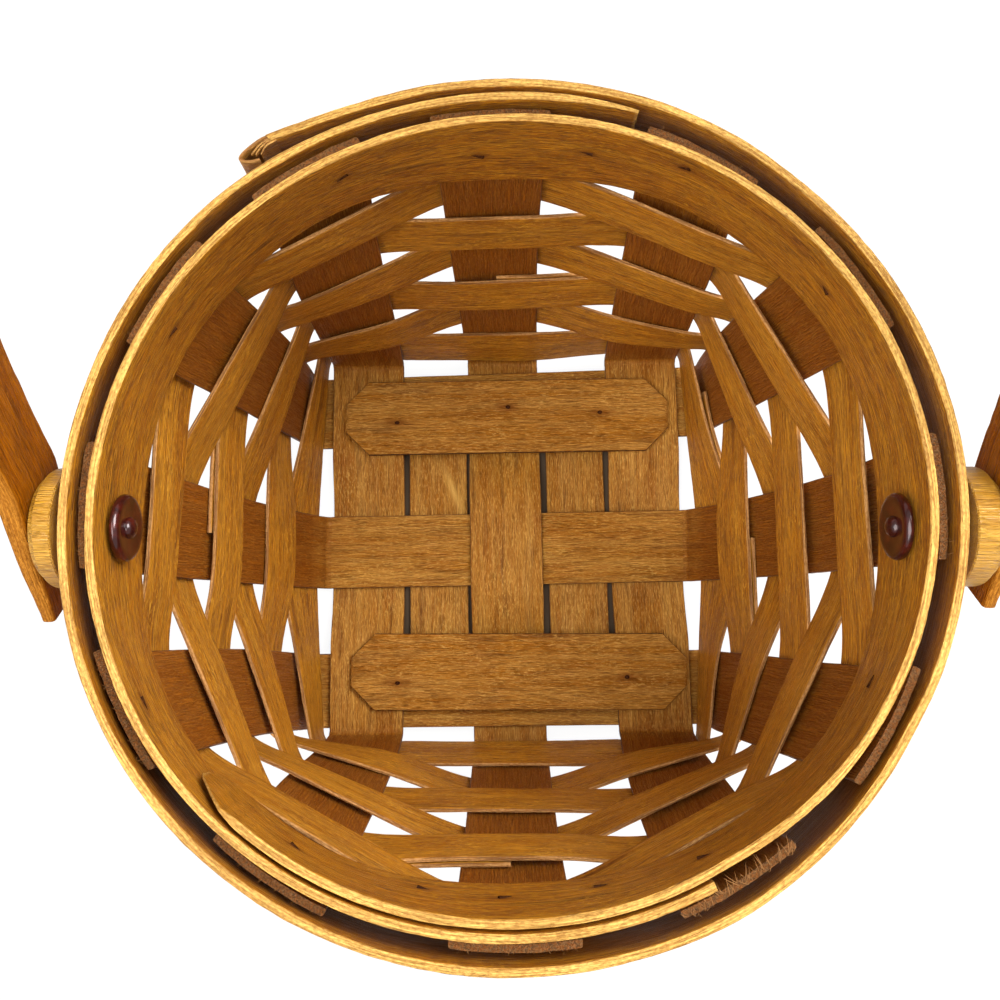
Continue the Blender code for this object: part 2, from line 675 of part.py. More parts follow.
def turned(name, side, profile, sides, closed, material, lean=0.0, lean_columns=()):
    """A piece turned about the pivot axis. A profile is (distance out along X, radius) points.

    Side is -1 on the left and 1 on the right. The rings named in lean_columns follow the rim's lean.
    """
    rings = []
    for index, (out, radius) in enumerate(profile):
        ring = []
        for corner in range(sides):
            turn = 2 * pi * corner / sides
            rise = radius * sin(turn)
            reach = out - lean * rise if index in lean_columns else out
            ring.append((Vector((side * reach, PIVOT_Y + radius * cos(turn), PIVOT_Z + rise)), False))
        rings.append(ring)
    mesh = bmesh.new()
    loft(mesh, rings, closed)
    return new_object(name, mesh, material)


def side_angle(side):
    """Angle of the pivot side on the rim, taken on the turn that both bands pass once."""
    return pi if side < 0 else 2 * pi


def spacer_seat(side):
    """Distance out along X of a spacer's inner face at the pivot. Its lower edge clears the outer band."""
    angle = side_angle(side)
    face = outer_offset(angle) + BAND_THICKNESS / 2
    return side * rim_point(angle, PIVOT_Z - SPACER_RADIUS, face).x + FIT_GAP - SPACER_LEAN * SPACER_RADIUS


def spacer_face(side):
    """Distance out along X of a spacer's outer face."""
    return spacer_seat(side) + (LEFT_SPACER_THICKNESS if side < 0 else RIGHT_SPACER_THICKNESS)


def burr_back(side):
    """Distance out along X of a burr's flat back, which its edge sets against the hollow inner band."""
    angle = side_angle(side)
    radius = ring_radius(angle, PIVOT_Z + BURR_RADIUS) + inner_face(angle)
    edge = abs(PIVOT_Y - RIM_CENTRE.y) + BURR_RADIUS
    return sqrt(radius * radius - edge * edge) + side * RIM_CENTRE.x - FIT_GAP


def make_spacer(name, side, material):
    """A round wooden spacer, flat and bevelled towards the handle, and leaning a little towards the rim."""
    seat, face, bore = spacer_seat(side), spacer_face(side), RIVET_RADIUS + RIVET_CLEARANCE
    profile = [(seat, bore), (seat, SPACER_RADIUS), (face - SPACER_BEVEL, SPACER_RADIUS),
               (face, SPACER_RADIUS - SPACER_BEVEL), (face, bore)]
    return turned(name, side, profile, ROUND_SIDES, True, material, SPACER_LEAN, (0, 1))


def make_burr(name, side, material):
    """A dished washer on the inside of the rim."""
    back, bore = burr_back(side), RIVET_RADIUS + RIVET_CLEARANCE
    front = back - BURR_THICKNESS
    rim = front + BURR_THICKNESS / 2
    profile = [(back, bore), (back, BURR_RADIUS), (rim, BURR_RADIUS), (front, BURR_RADIUS * 0.75),
               (front, bore)]
    return turned(name, side, profile, ROUND_SIDES, True, material)


def handle_outside(side, lift):
    """Distance out along X of the handle's outer face, at a distance up its arm."""
    inner, _ = arm_point(side, lift)
    return inner + handle_thickness(side, lift)


def make_rivet(name, side, material):
    """A rivet from a flat head outside the handle to a peened dome on the burr."""
    under_head = handle_outside(side, RIVET_HEAD_RADIUS) + FIT_GAP
    on_burr = burr_back(side) - BURR_THICKNESS - FIT_GAP
    profile = [(on_burr - PEEN_HEIGHT, PEEN_RADIUS * 0.35),
               (on_burr - PEEN_HEIGHT * 0.75, PEEN_RADIUS * 0.75),
               (on_burr, PEEN_RADIUS), (on_burr, RIVET_RADIUS), (under_head, RIVET_RADIUS),
               (under_head, RIVET_HEAD_RADIUS), (under_head + RIVET_HEAD_HEIGHT / 2, RIVET_HEAD_RADIUS),
               (under_head + RIVET_HEAD_HEIGHT, RIVET_HEAD_RADIUS * 0.6)]
    return turned(name, side, profile, ROUND_SIDES, False, material)


# Handle

def handle_tail(side):
    """Length of an arm below its pivot."""
    return LEFT_HANDLE_TAIL if side < 0 else RIGHT_HANDLE_TAIL


def handle_thickness(side, lift):
    """Thickness of the handle at a distance up its arm from the pivot. It thins towards its end."""
    share = smooth(1 + lift / handle_tail(side))
    return HANDLE_END_THICKNESS + share * (HANDLE_THICKNESS - HANDLE_END_THICKNESS)


def arm_point(side, lift):
    """Distance out along X of an arm's inner face at a distance up from the pivot, and its slope there.

    It stays straight along the spacer, and flares from there to the foot of the arch.
    """
    flare = LEFT_ARM_FLARE if side < 0 else RIGHT_ARM_FLARE
    length = ARM_LENGTH - SPACER_RADIUS
    share = max(lift - SPACER_RADIUS, 0.0) / length
    slope = 2 * flare / length * (1 - share) if share else 0.0
    return spacer_face(side) + FIT_GAP + flare * share * (2 - share), slope


def arm_stations(side):
    """Stations up an arm, each the inner face's point, its outward direction and the thickness."""
    stations = []
    for lift in [-handle_tail(side), -handle_tail(side) / 2, *ARM_LIFTS]:
        out, slope = arm_point(side, lift)
        outward = Vector((side, 0, -slope)).normalized()
        stations.append((Vector((side * out, 0, lift)), outward, handle_thickness(side, lift)))
    return stations


def make_handle(material):
    """One bent strip in the plane of its own pivot, leaning back as it was left.

    Its local Z runs up the arms, and its origin is on the pivot axis.
    """
    left, right = (arm_point(side, ARM_LENGTH)[0] for side in (-1, 1))
    middle, radius = (right - left) / 2, (right + left) / 2
    stations = arm_stations(-1)
    for step in range(ARCH_STEPS + 1):
        turn = pi - pi * step / ARCH_STEPS
        outward = Vector((cos(turn), 0, sin(turn)))
        stations.append((Vector((middle, 0, ARM_LENGTH)) + outward * radius, outward, HANDLE_THICKNESS))
    stations += arm_stations(1)[::-1]
    half, chamfer = HANDLE_WIDTH / 2, HANDLE_CHAMFER
    rings = []
    for inner, outward, thickness in stations:
        section = [(-half + chamfer, 0.0), (half - chamfer, 0.0), (half, chamfer),
                   (half, thickness - chamfer), (half - chamfer, thickness), (-half + chamfer, thickness),
                   (-half, thickness - chamfer), (-half, chamfer)]
        rings.append([(inner + ALONG_Y * across + outward * depth, False) for across, depth in section])
    mesh = bmesh.new()
    loft(mesh, rings)
    handle = new_object("handle", mesh, material)
    handle.location = (0, PIVOT_Y, PIVOT_Z)
    handle.rotation_euler.x = -HANDLE_LEAN
    return handle


# Holes

def make_hole_cutter():
    """One mesh with a plug for every hole: square for the tacks, and round for the two rivets."""
    mesh = bmesh.new()
    half = TACK_SHANK_RADIUS + TACK_CLEARANCE
    for degrees_round, lift in RIM_TACKS:
        angle = radians(degrees_round)
        place = rim_tack_place(angle, lift)
        length = outer_face(angle) - inner_face(angle)
        box = Matrix.Diagonal((2 * half, 2 * half, length + 2 * CUT_OVERRUN, 1))
        bmesh.ops.create_cube(mesh, size=1, matrix=place @ Matrix.Translation((0, 0, -length / 2)) @ box)
    for place in batten_tack_places():
        bottom = level_middle(TACKED_LEVEL) - SPLINT_THICKNESS / 2 - FIT_GAP / 2
        length = place.translation.z + CUT_OVERRUN - bottom
        box = Matrix.Diagonal((2 * half, 2 * half, length, 1))
        shift = Matrix.Translation((0, 0, CUT_OVERRUN - length / 2))
        bmesh.ops.create_cube(mesh, size=1, matrix=place @ shift @ box)
    bore = RIVET_RADIUS + RIVET_CLEARANCE
    for side in (-1, 1):
        inner, outer = burr_back(side) - CUT_OVERRUN, handle_outside(side, 0.0) + CUT_OVERRUN
        centre = Matrix.Translation((side * (inner + outer) / 2, PIVOT_Y, PIVOT_Z))
        bmesh.ops.create_cone(mesh, cap_ends=True, segments=HOLE_SIDES, radius1=bore, radius2=bore,
                              depth=outer - inner, matrix=centre @ Matrix.Rotation(pi / 2, 4, "Y"))
    data = bpy.data.meshes.new("fastener_holes")
    mesh.to_mesh(data)
    mesh.free()
    cutter = bpy.data.objects.new("fastener_holes", data)
    cutter.hide_render = True
    cutter.display_type = "WIRE"
    bpy.context.scene.collection.objects.link(cutter)
    return cutter


def cut_holes(piece, cutter):
    """Take the fasteners' holes out of a piece."""
    modifier = piece.modifiers.new("holes", "BOOLEAN")
    modifier.operation = "DIFFERENCE"
    modifier.solver = "EXACT"
    modifier.object = cutter


# The basket, put together

def crossing(place, level):
    """A plateau where a splint along Y crosses one along X."""
    reach = SPLINT_WIDTH / 2 + CROSSING_MARGIN
    return [place - reach, place + reach, level]


def splint_along_y(name, place, skew, end_level, middle_level, ends):
    """A splint along Y: one level at its two ends, another where it crosses the middle splint."""
    back = crossing(BACK_SPLINT_Y + BACK_SPLINT_SKEW * place, end_level)
    front = crossing(FRONT_SPLINT_Y + FRONT_SPLINT_SKEW * place, end_level)
    middle = crossing(MIDDLE_X_SPLINT_Y + MIDDLE_X_SPLINT_SKEW * place, middle_level)
    plateaus = [(ends[0].setback - FLAT_HALF, front[1], end_level), middle,
                (back[0], FLAT_HALF - ends[1].setback, end_level)]
    return Splint(name, ALONG_Y, ALONG_X, place, skew, plateaus, ends)


def splint_along_x(name, place, skew, ends, touches_ground=False):
    """A splint along X, on the middle level all the way but for the patch that rests on the ground."""
    level = 2
    left_end = LEFT_FILLER_X + FILLER_WIDTH / 2 + SAG_MARGIN
    right_start = RIGHT_FILLER_X - FILLER_WIDTH / 2 - SAG_MARGIN
    first, last = ends[0].setback - FLAT_HALF, FLAT_HALF - ends[1].setback
    plateaus = [(first, -REST_PATCH_HALF, level), (REST_PATCH_HALF, last, level)]
    if touches_ground:
        plateaus = [(first, left_end, level), (-REST_PATCH_HALF, REST_PATCH_HALF, 1),
                    (right_start, last, level)]
    return Splint(name, ALONG_X, ALONG_Y, place, skew, plateaus, ends)


def main():
    for old in list(bpy.data.objects):
        bpy.data.objects.remove(old)

    splint_wood = new_material("stained splint", (0.2, 0.075, 0.025), 0.55)
    weaver_wood = new_material("stained weaver", (0.3, 0.125, 0.04), 0.5)
    band_wood = new_material("bent rim band", (0.36, 0.17, 0.06), 0.5)
    batten_wood = new_material("batten board", (0.26, 0.1, 0.035), 0.55)
    handle_wood = new_material("handle ash", (0.33, 0.15, 0.055), 0.45)
    spacer_wood = new_material("spacer end grain", (0.42, 0.24, 0.11), 0.6)
    tack_iron = new_material("tack iron", (0.05, 0.04, 0.035), 0.5, 1.0)
    rivet_bronze = new_material("rivet bronze", (0.19, 0.11, 0.06), 0.4, 1.0)

    y_splints = [
        splint_along_y("splint_y_left", LEFT_SPLINT_X, LEFT_SPLINT_SKEW, 3, 1, LEFT_SPLINT_ENDS),
        splint_along_y("splint_y_middle", MIDDLE_Y_SPLINT_X, MIDDLE_Y_SPLINT_SKEW, 1, 3,
                       MIDDLE_Y_SPLINT_ENDS),
        splint_along_y("splint_y_right", RIGHT_SPLINT_X, RIGHT_SPLINT_SKEW, 3, 1, RIGHT_SPLINT_ENDS)]
    x_splints = [
        splint_along_x("splint_x_back", BACK_SPLINT_Y, BACK_SPLINT_SKEW, BACK_SPLINT_ENDS),
        splint_along_x("splint_x_middle", MIDDLE_X_SPLINT_Y, MIDDLE_X_SPLINT_SKEW, MIDDLE_X_SPLINT_ENDS,
                       touches_ground=True),
        splint_along_x("splint_x_front", FRONT_SPLINT_Y, FRONT_SPLINT_SKEW, FRONT_SPLINT_ENDS)]
    pairs = {splint.name: splint_uprights(splint) for splint in y_splints + x_splints}
    clockwise = [(splint, 1) for splint in y_splints + x_splints]
    clockwise += [(splint, 0) for splint in y_splints[::-1] + x_splints[::-1]]
    uprights = [pairs[splint.name][last] for splint, last in clockwise]

    drilled = [make_splint(splint, splint_wood) for splint in y_splints + x_splints]
    make_filler("base_filler_left", LEFT_FILLER_X, LEFT_FILLER_SKEW, splint_wood)
    make_filler("base_filler_right", RIGHT_FILLER_X, RIGHT_FILLER_SKEW, splint_wood)
    drilled.append(make_batten("base_batten_back", BACK_BATTEN, batten_wood))
    drilled.append(make_batten("base_batten_front", FRONT_BATTEN, batten_wood))
    make_batten_tacks(tack_iron)

    for row in range(len(LAP_STARTS)):
        make_weaver(row, uprights, weaver_wood)

    drilled.append(make_band("rim_band_inner", INNER_BAND_PATH, inner_offset, band_wood))
    drilled.append(make_band("rim_band_outer", OUTER_BAND_PATH, outer_offset, band_wood))
    make_end_strip(band_wood)
    make_rim_tacks(tack_iron)

    for side, word in ((-1, "left"), (1, "right")):
        make_spacer(f"handle_spacer_{word}", side, spacer_wood)
        make_burr(f"rivet_burr_{word}", side, rivet_bronze)
        make_rivet(f"handle_rivet_{word}", side, rivet_bronze)
    drilled.append(make_handle(handle_wood))

    cutter = make_hole_cutter()
    for piece in drilled:
        cut_holes(piece, cutter)


main()
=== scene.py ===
"""Measuring basket woven from hardwood splints, with bent rim bands and a swing handle.

Lengths are in metres and +Z is up. The basket stands on its base at the origin.
"""

from collections import namedtuple
from math import atan2, cos, exp, pi, radians, sin, tan

import bmesh
import bpy
from mathutils import Matrix, Vector, noise


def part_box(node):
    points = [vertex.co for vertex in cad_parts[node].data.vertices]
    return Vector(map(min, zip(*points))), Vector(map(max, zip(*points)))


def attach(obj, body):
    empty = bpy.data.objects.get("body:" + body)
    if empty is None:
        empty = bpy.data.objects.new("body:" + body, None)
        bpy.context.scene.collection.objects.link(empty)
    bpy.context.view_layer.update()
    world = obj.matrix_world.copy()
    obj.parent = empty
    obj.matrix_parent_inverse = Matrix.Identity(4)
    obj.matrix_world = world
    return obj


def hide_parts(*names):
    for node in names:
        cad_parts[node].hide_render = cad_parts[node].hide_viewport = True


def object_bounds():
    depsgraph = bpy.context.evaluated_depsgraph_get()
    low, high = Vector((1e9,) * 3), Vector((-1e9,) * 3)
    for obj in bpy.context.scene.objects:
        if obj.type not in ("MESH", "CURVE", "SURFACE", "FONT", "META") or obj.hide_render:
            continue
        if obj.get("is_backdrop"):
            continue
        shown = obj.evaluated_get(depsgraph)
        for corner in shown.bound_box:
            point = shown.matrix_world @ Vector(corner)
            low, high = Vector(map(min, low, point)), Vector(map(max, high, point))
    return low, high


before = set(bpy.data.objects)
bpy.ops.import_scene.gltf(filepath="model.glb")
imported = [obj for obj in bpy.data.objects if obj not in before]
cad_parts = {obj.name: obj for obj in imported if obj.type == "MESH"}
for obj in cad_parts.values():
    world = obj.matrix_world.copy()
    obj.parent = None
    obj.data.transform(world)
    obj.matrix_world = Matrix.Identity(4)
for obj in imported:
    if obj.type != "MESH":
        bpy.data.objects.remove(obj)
cad_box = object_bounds()


# Long splints of the base and the wall
# Hardwood split along the grain and stained brown. Each is one strip, flat in the base and folded up
# at both ends as an upright, with a frayed cut top between the rim bands.

SPLINT_WIDTH = 0.01905
SPLINT_THICKNESS = 0.0013
FIT_GAP = 0.0003
LEVEL_RISE = SPLINT_THICKNESS + FIT_GAP
BASE_HALF = 0.051175
FOLD_RADIUS = 0.002
CROSSING_REACH = SPLINT_WIDTH / 2 + 0.0008
SAG = [(-0.0105, -0.004), (0.004, 0.0112)]
X_PLACES = {"back": 0.03755, "middle": -0.0003, "front": -0.03645}
X_SKEWS = {"back": 0.034, "middle": 0.018, "front": 0.009}

RIM_CENTRE = Vector((0.0001, -0.0009, 0.0))
RIM_RADIUS = 0.0626
RIM_OVAL = 0.0009
RIM_OVAL_ANGLE = radians(14)
RIM_LEAN = 0.0015
RIM_CORNER = 0.0019
RIM_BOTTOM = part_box("rim_band_inner")[0][2]
RIM_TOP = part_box("rim_band_inner")[1][2]
BAND_HEIGHT = RIM_TOP - RIM_BOTTOM
UPRIGHT_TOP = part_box("splint_y_middle")[1][2]
UPRIGHT_STEPS = 60
FOOT_EASE = 6
TURN_BOW = 0.7
CAMBER_START = 0.06

ARRIS = 0.0003
EDGE_WANDER = 0.00015
EDGE_DRIFTS = (0.012, 0.0016)
THICKNESS_SWELLS = (0.009, 0.0022)
FACE_WAVES = (0.018, 0.005)
FACE_WAVE_DEPTH = 0.00005
TORN_FIBRE = (0.0006, 0.0008)
CUT_TOP_TEAR = 0.0009

# Painted shade: the base darkens towards its corners with the wall.
CORNER_PAINTED_SHADE = 0.4
CORNER_REACH = 0.014
# Painted shade round the folds, which fades out a little way up each upright.
FOLD_PAINTED_SHADE = 0.6
FOLD_PAINTED_SHADE_FADE = 0.003
# Up the wall the uprights darken, partly by deeper stain and partly by painted shade behind the weavers.
WALL_STAIN_AND_SHADE = 0.85
WALL_STAIN_AND_SHADE_FOOT = 0.002
WALL_STAIN_AND_SHADE_EASE = 0.008
BARE_TOP = 0.0015
BARE_TOP_EASE = 0.0035
# Painted shade down the band faces that look into the gap between the rim bands.
GAP_SHADE_EASE = 0.006

Station = namedtuple("Station", "low high low_out high_out bow thickness stain")
WallEnd = namedtuple("WallEnd", "rim_angle bow draw setback")
Splint = namedtuple("Splint", "name run side place skew plateaus ends")
Upright = namedtuple("Upright", "foot facing rim_angle fold_top bow draw setback")
Mark = namedtuple("Mark", "point direction length width")
UP = Vector((0, 0, 1))
ALONG_X = Vector((1, 0, 0))
ALONG_Y = Vector((0, 1, 0))


def linear(code):
    """A linear colour from an sRGB hex value."""
    channels = [int(code[start:start + 2], 16) / 255 for start in (0, 2, 4)]
    channels = [value / 12.92 if value <= 0.04045 else ((value + 0.055) / 1.055) ** 2.4
                for value in channels]
    return (*channels, 1.0)


def add(tree, kind, inputs=None, **settings):
    """Add a node with its options, and set or link each input that is named."""
    node = tree.nodes.new(kind)
    for option, value in settings.items():
        setattr(node, option, value)
    for name, value in (inputs or {}).items():
        if isinstance(value, bpy.types.NodeSocket):
            tree.links.new(value, node.inputs[name])
        else:
            node.inputs[name].default_value = value
    return node


def new_material(name):
    """A material, its node tree and its shader."""
    material = bpy.data.materials.new(name)
    material.use_nodes = True
    return material, material.node_tree, material.node_tree.nodes["Principled BSDF"]


def figure(tree, grain, length, width, low, high, detail=2.0, depth=0.0):
    """A wood figure drawn out along the grain: marks of a length and a width, from 0 to 1."""
    scaled = add(tree, "ShaderNodeVectorMath", {0: grain, 1: (1 / length, 1 / width, 1 / width)},
                 operation="MULTIPLY").outputs[0]
    moved = add(tree, "ShaderNodeVectorMath", {0: scaled, 1: (depth, depth, depth)},
                operation="ADD").outputs[0]
    value = add(tree, "ShaderNodeTexNoise", {"Vector": moved, "Scale": 1.0, "Detail": detail}).outputs[0]
    return add(tree, "ShaderNodeMapRange", {0: value, 1: low, 2: high}).outputs[0]


def stained_wood(name, tones, roughness=0.5, bold=0.65, speck=0.6, shine=0.2):
    """Brown oil stain on split hardwood, which takes it unevenly: wavy streaks with the grain, slow
    bands, short dark pores and pale flecks. Cut edges have a tone of their own and dark lines.

    The tones are the body, the dark streaks, the pale flecks, the deep stain, which also serves for
    painted shade, a cut edge and its lines.
    Each figure is given the length and the width of its marks.
    """
    material, tree, shader = new_material(name)
    body, dark, pale, deep, sawn, groove = (linear(tone) for tone in tones.split())
    straight = add(tree, "ShaderNodeAttribute", attribute_name="grain").outputs["Vector"]
    edge = add(tree, "ShaderNodeAttribute", attribute_name="edge").outputs["Fac"]
    stain = add(tree, "ShaderNodeAttribute", attribute_name="stain").outputs["Fac"]

    sway = add(tree, "ShaderNodeTexNoise", {"Vector": straight, "Scale": 260.0, "Detail": 2.0})
    centred = add(tree, "ShaderNodeVectorMath", {0: sway.outputs["Color"], 1: (0.5, 0.5, 0.5)},
                  operation="SUBTRACT").outputs[0]
    grain = add(tree, "ShaderNodeVectorMath", {0: centred, 1: (0.0, 0.0006, 0.0), 2: straight},
                operation="MULTIPLY_ADD").outputs[0]

    streaks = figure(tree, grain, 0.008, 0.00024, 0.4, 0.63, 4.0)
    bands = figure(tree, grain, 0.042, 0.0026, 0.38, 0.64, 2.0, 7.3)
    clouds = figure(tree, grain, 0.013, 0.006, 0.36, 0.66, 3.0, 3.1)
    pores = figure(tree, grain, 0.003, 0.00017, 0.56, 0.66, 1.0, 5.7)
    flecks = figure(tree, grain, 0.0012, 0.0002, 0.53, 0.65, 2.0, 9.9)
    blots = figure(tree, grain, 0.021, 0.0022, 0.58, 0.74, 3.0, 6.6)
    rubbed = figure(tree, straight, 0.012, 0.008, 0.5, 0.66, 2.0, 12.4)
    scuffs = figure(tree, straight, 0.0011, 0.0005, 0.56, 0.66, 3.0, 4.2)
    plies = figure(tree, straight, 0.014, 0.0003, 0.42, 0.6, 2.0, 2.6)
    speckle = figure(tree, straight, 0.0007, 0.00035, 0.42, 0.64, 3.0, 1.7)

    def over(amount, share, under, tone):
        part = add(tree, "ShaderNodeMath", {0: amount, 1: share}, operation="MULTIPLY").outputs[0]
        return add(tree, "ShaderNodeMix", {0: part, 6: under, 7: tone}, data_type="RGBA").outputs[2]

    worn = add(tree, "ShaderNodeMath", {0: rubbed, 1: scuffs}, operation="MULTIPLY").outputs[0]
    colour = body
    for amount, share, tone in ((clouds, 0.5, dark), (bands, 0.4, pale), (streaks, bold, dark),
                                (flecks, speck, pale), (blots, 0.55, deep), (pores, bold, deep),
                                (worn, 0.7, pale)):
        colour = over(amount, share, colour, tone)
    # The stain attribute holds real stain and rust, pale scars below 0, and painted shade in corners, folds
    # and gaps.
    stain_and_shade_tone = over(flecks, 0.25, over(streaks, 0.45, dark, deep), body)
    colour = over(stain, 1.0, colour, stain_and_shade_tone)
    colour = over(stain, -1.0, colour, pale)
    ends = over(speckle, 0.5, over(plies, 0.7, sawn, groove), dark)
    tree.links.new(over(edge, 1.0, colour, ends), shader.inputs["Base Color"])

    rough = add(tree, "ShaderNodeMapRange", {0: streaks, 3: roughness - 0.06, 4: roughness + 0.12})
    tree.links.new(rough.outputs[0], shader.inputs["Roughness"])
    shader.inputs["Specular IOR Level"].default_value = shine
    relief = add(tree, "ShaderNodeMath", {0: streaks, 1: pores}, operation="ADD").outputs[0]
    bump = add(tree, "ShaderNodeBump", {"Height": relief, "Strength": 0.8, "Distance": 0.00018},
               invert=True)
    tree.links.new(bump.outputs[0], shader.inputs["Normal"])
    return material


# Ash splint, split and oil stained: a satin brown with fine streaks and pale flecks.
splint_wood = stained_wood("stained ash splint", "BA7C26 8A4806 DEAC54 562404 76522E 3A2210", bold=0.42)


def smooth(share):
    """Ease from 0 to 1 and come to rest at both."""
    share = min(max(share, 0.0), 1.0)
    return share * share * (3 - 2 * share)


def level_middle(level):
    """Height of the middle of a splint's thickness on one of the base's three levels."""
    return SPLINT_THICKNESS / 2 + (level - 1) * LEVEL_RISE


def rim_point(angle, height, offset=0.0):
    """Point in the rim, offset outwards from the ring that the uprights' middles stand in."""
    oval = RIM_OVAL * cos(2 * (angle - RIM_OVAL_ANGLE))
    lean = RIM_LEAN + RIM_CORNER * (1 - cos(2 * angle) ** 4)
    radius = RIM_RADIUS + oval + lean * (RIM_TOP - height) / BAND_HEIGHT + offset
    return RIM_CENTRE + Vector((radius * cos(angle), radius * sin(angle), height))


def upright_section(upright, height):
    """Middle, outward direction, clockwise direction and camber of an upright at a height."""
    rise = min(max((height - upright.fold_top) / (RIM_BOTTOM - upright.fold_top), 0.0), 1.0)
    turn = (upright.rim_angle - upright.facing + pi) % (2 * pi) - pi
    facing = upright.facing + (rise + TURN_BOW * rise * (1 - rise)) * turn
    share = rise + upright.bow * rise * (1 - rise)
    eased = upright.setback * (1 - (1 - rise) ** FOOT_EASE)
    toe = upright.foot + Vector((cos(upright.facing), sin(upright.facing), 0)) * eased
    middle = toe.lerp(rim_point(upright.rim_angle, max(height, RIM_BOTTOM)), share)
    middle.z = height
    outward = Vector((cos(facing), sin(facing), 0))
    middle -= outward * upright.draw * 4 * rise * (1 - rise)
    clockwise = Vector((sin(facing), -cos(facing), 0))
    sagitta = (SPLINT_WIDTH / 2) ** 2 / (2 * RIM_RADIUS)
    camber = sagitta * smooth((height - CAMBER_START) / (RIM_BOTTOM - CAMBER_START))
    return middle, outward, clockwise, camber


def section_loop(width, half, corner, across):
    """Points round a strip's section: how far across, how far out, and how far it is a cut edge."""
    corner = min(corner, half)
    first = [(corner + (width - 2 * corner) * step / across, half, 0.0) for step in range(across + 1)]
    for turn in (30, 60, 90, 120, 150):
        lift = cos(radians(turn)) * corner + (half - corner) * ((turn < 90) - (turn > 90))
        first.append((width - corner + corner * sin(radians(turn)), lift, 1.0 if 30 < turn < 150 else 0.6))
    return first + [(width - place, -out, cut) for place, out, cut in first]


def strip_faces(rings, across):
    """Faces of a strip between its rings of points, and over its two ends."""
    count = 2 * across + 12
    faces = []
    for start in range(0, (rings - 1) * count, count):
        for spot in range(count):
            after = (spot + 1) % count
            faces.append((start + spot, start + after, start + count + after, start + count + spot))
    for start in (0, (rings - 1) * count):
        back = start + across + 6
        for step in range(across):
            faces.append((start + step, start + step + 1, back + across - step - 1, back + across - step))
        faces.append(tuple(range(start + across, back + 1)))
        faces.append((*range(start + 2 * across + 6, start + count), start))
    return faces


def mark_shade(point, marks):
    """How dark the stain round the nearest mark is at a point."""
    shade = 0.0
    for mark in marks:
        away = point - mark.point
        if away.length < 3 * mark.length:
            along = away.dot(mark.direction)
            aside = (away - mark.direction * along).length
            shade = max(shade, exp(-(along / mark.length) ** 2 - (aside / mark.width) ** 2))
    return shade


def store(mesh, name, kind, values):
    """Store a value or a vector for each point of a mesh."""
    field = "value"
    if kind == "FLOAT_VECTOR":
        field = "vector"
        values = [part for value in values for part in value]
    mesh.attributes.new(name, kind, "POINT").data.foreach_set(field, values)


def new_object(name, data):
    """An object in the scene, with its mesh or other data."""
    item = bpy.data.objects.new(name, data)
    bpy.context.scene.collection.objects.link(item)
    return item


def face_out(mesh, sharp=50):
    """Point a closed mesh's faces outwards and shade it smooth, but for edges sharper than an angle."""
    shape = bmesh.new()
    shape.from_mesh(mesh)
    bmesh.ops.recalc_face_normals(shape, faces=shape.faces)
    shape.to_mesh(mesh)
    shape.free()
    mesh.shade_smooth()
    mesh.set_sharp_from_angle(angle=radians(sharp))


def build_strip(name, stations, seed, corner=ARRIS, across=9, wander=EDGE_WANDER, ragged=(0.0, 0.0),
                marks=(), gap_shaded=0, scars=()):
    """Skin a strip from its stations, with softened arrises and edges that wander a little.

    Its attributes are grain, the distance along and across, edge, which is 1 on the cut edges, and
    stain, which holds real stain and painted shade. Ragged is how far its two ends are broken up along
    the grain. Marks are dark spots and scars are pale ones. On the gap-shaded side, the face turned
    towards the uprights, into the gap between the two bands, painted shade deepens away from the high edge.
    """
    verts, grain, edge, stain = [], [], [], []
    along = 0.0
    middles = [(station.low + station.high) / 2 for station in stations]
    for index, station in enumerate(stations):
        if index:
            along += (middles[index] - middles[index - 1]).length
        width = (station.high - station.low).length
        slow, fast = (noise.noise((along / length, seed, depth))
                      for length, depth in zip(THICKNESS_SWELLS, (5.0, 7.0)))
        half = station.thickness / 2 * (0.9 + 0.1 * min(slow + 0.7 * fast, 1.0))
        drift = [wander * (0.6 + 0.6 * noise.noise((along / EDGE_DRIFTS[0], seed, side))
                           + 0.4 * noise.noise((along / EDGE_DRIFTS[1], seed, side)))
                 for side in (1.0, 2.0)]
        tear = ragged[0] if index == 0 else ragged[1] if index == len(stations) - 1 else 0.0
        beside = middles[1] - middles[0] if index == 0 else middles[index - 1] - middles[index]
        beside.normalize()
        for place, out, cut in section_loop(width, half, corner, across):
            share = place / width
            normal = station.low_out.lerp(station.high_out, share).normalized()
            wave = FACE_WAVE_DEPTH * noise.noise((along / FACE_WAVES[0], place / FACE_WAVES[1], seed))
            point = station.low.lerp(station.high,
                                     share + (drift[0] * (1 - share) - drift[1] * share) / width)
            point += normal * (out + wave + station.bow * 4 * share * (1 - share))
            if tear:
                broken = noise.noise((place / TORN_FIBRE[0], out / TORN_FIBRE[1], seed))
                point += beside * tear * (0.5 + 0.5 * broken)
            verts.append(point)
            grain.append((along + seed * 0.731, place - width / 2 + seed * 0.117, out + seed * 0.37))
            edge.append(1.0 if tear else cut)
            # Painted shade on the face turned into the gap between the bands, deeper away from the high
            # edge.
            depth = smooth((width - place) / GAP_SHADE_EASE) if gap_shaded * out > 0 else 0.0
            stain.append(max(station.stain, mark_shade(point, marks), depth) - mark_shade(point, scars))
    mesh = bpy.data.meshes.new(name)
    mesh.from_pydata(verts, [], strip_faces(len(stations), across))
    store(mesh, "grain", "FLOAT_VECTOR", grain)
    store(mesh, "edge", "FLOAT", edge)
    store(mesh, "stain", "FLOAT", stain)
    face_out(mesh)
    return new_object(name, mesh)


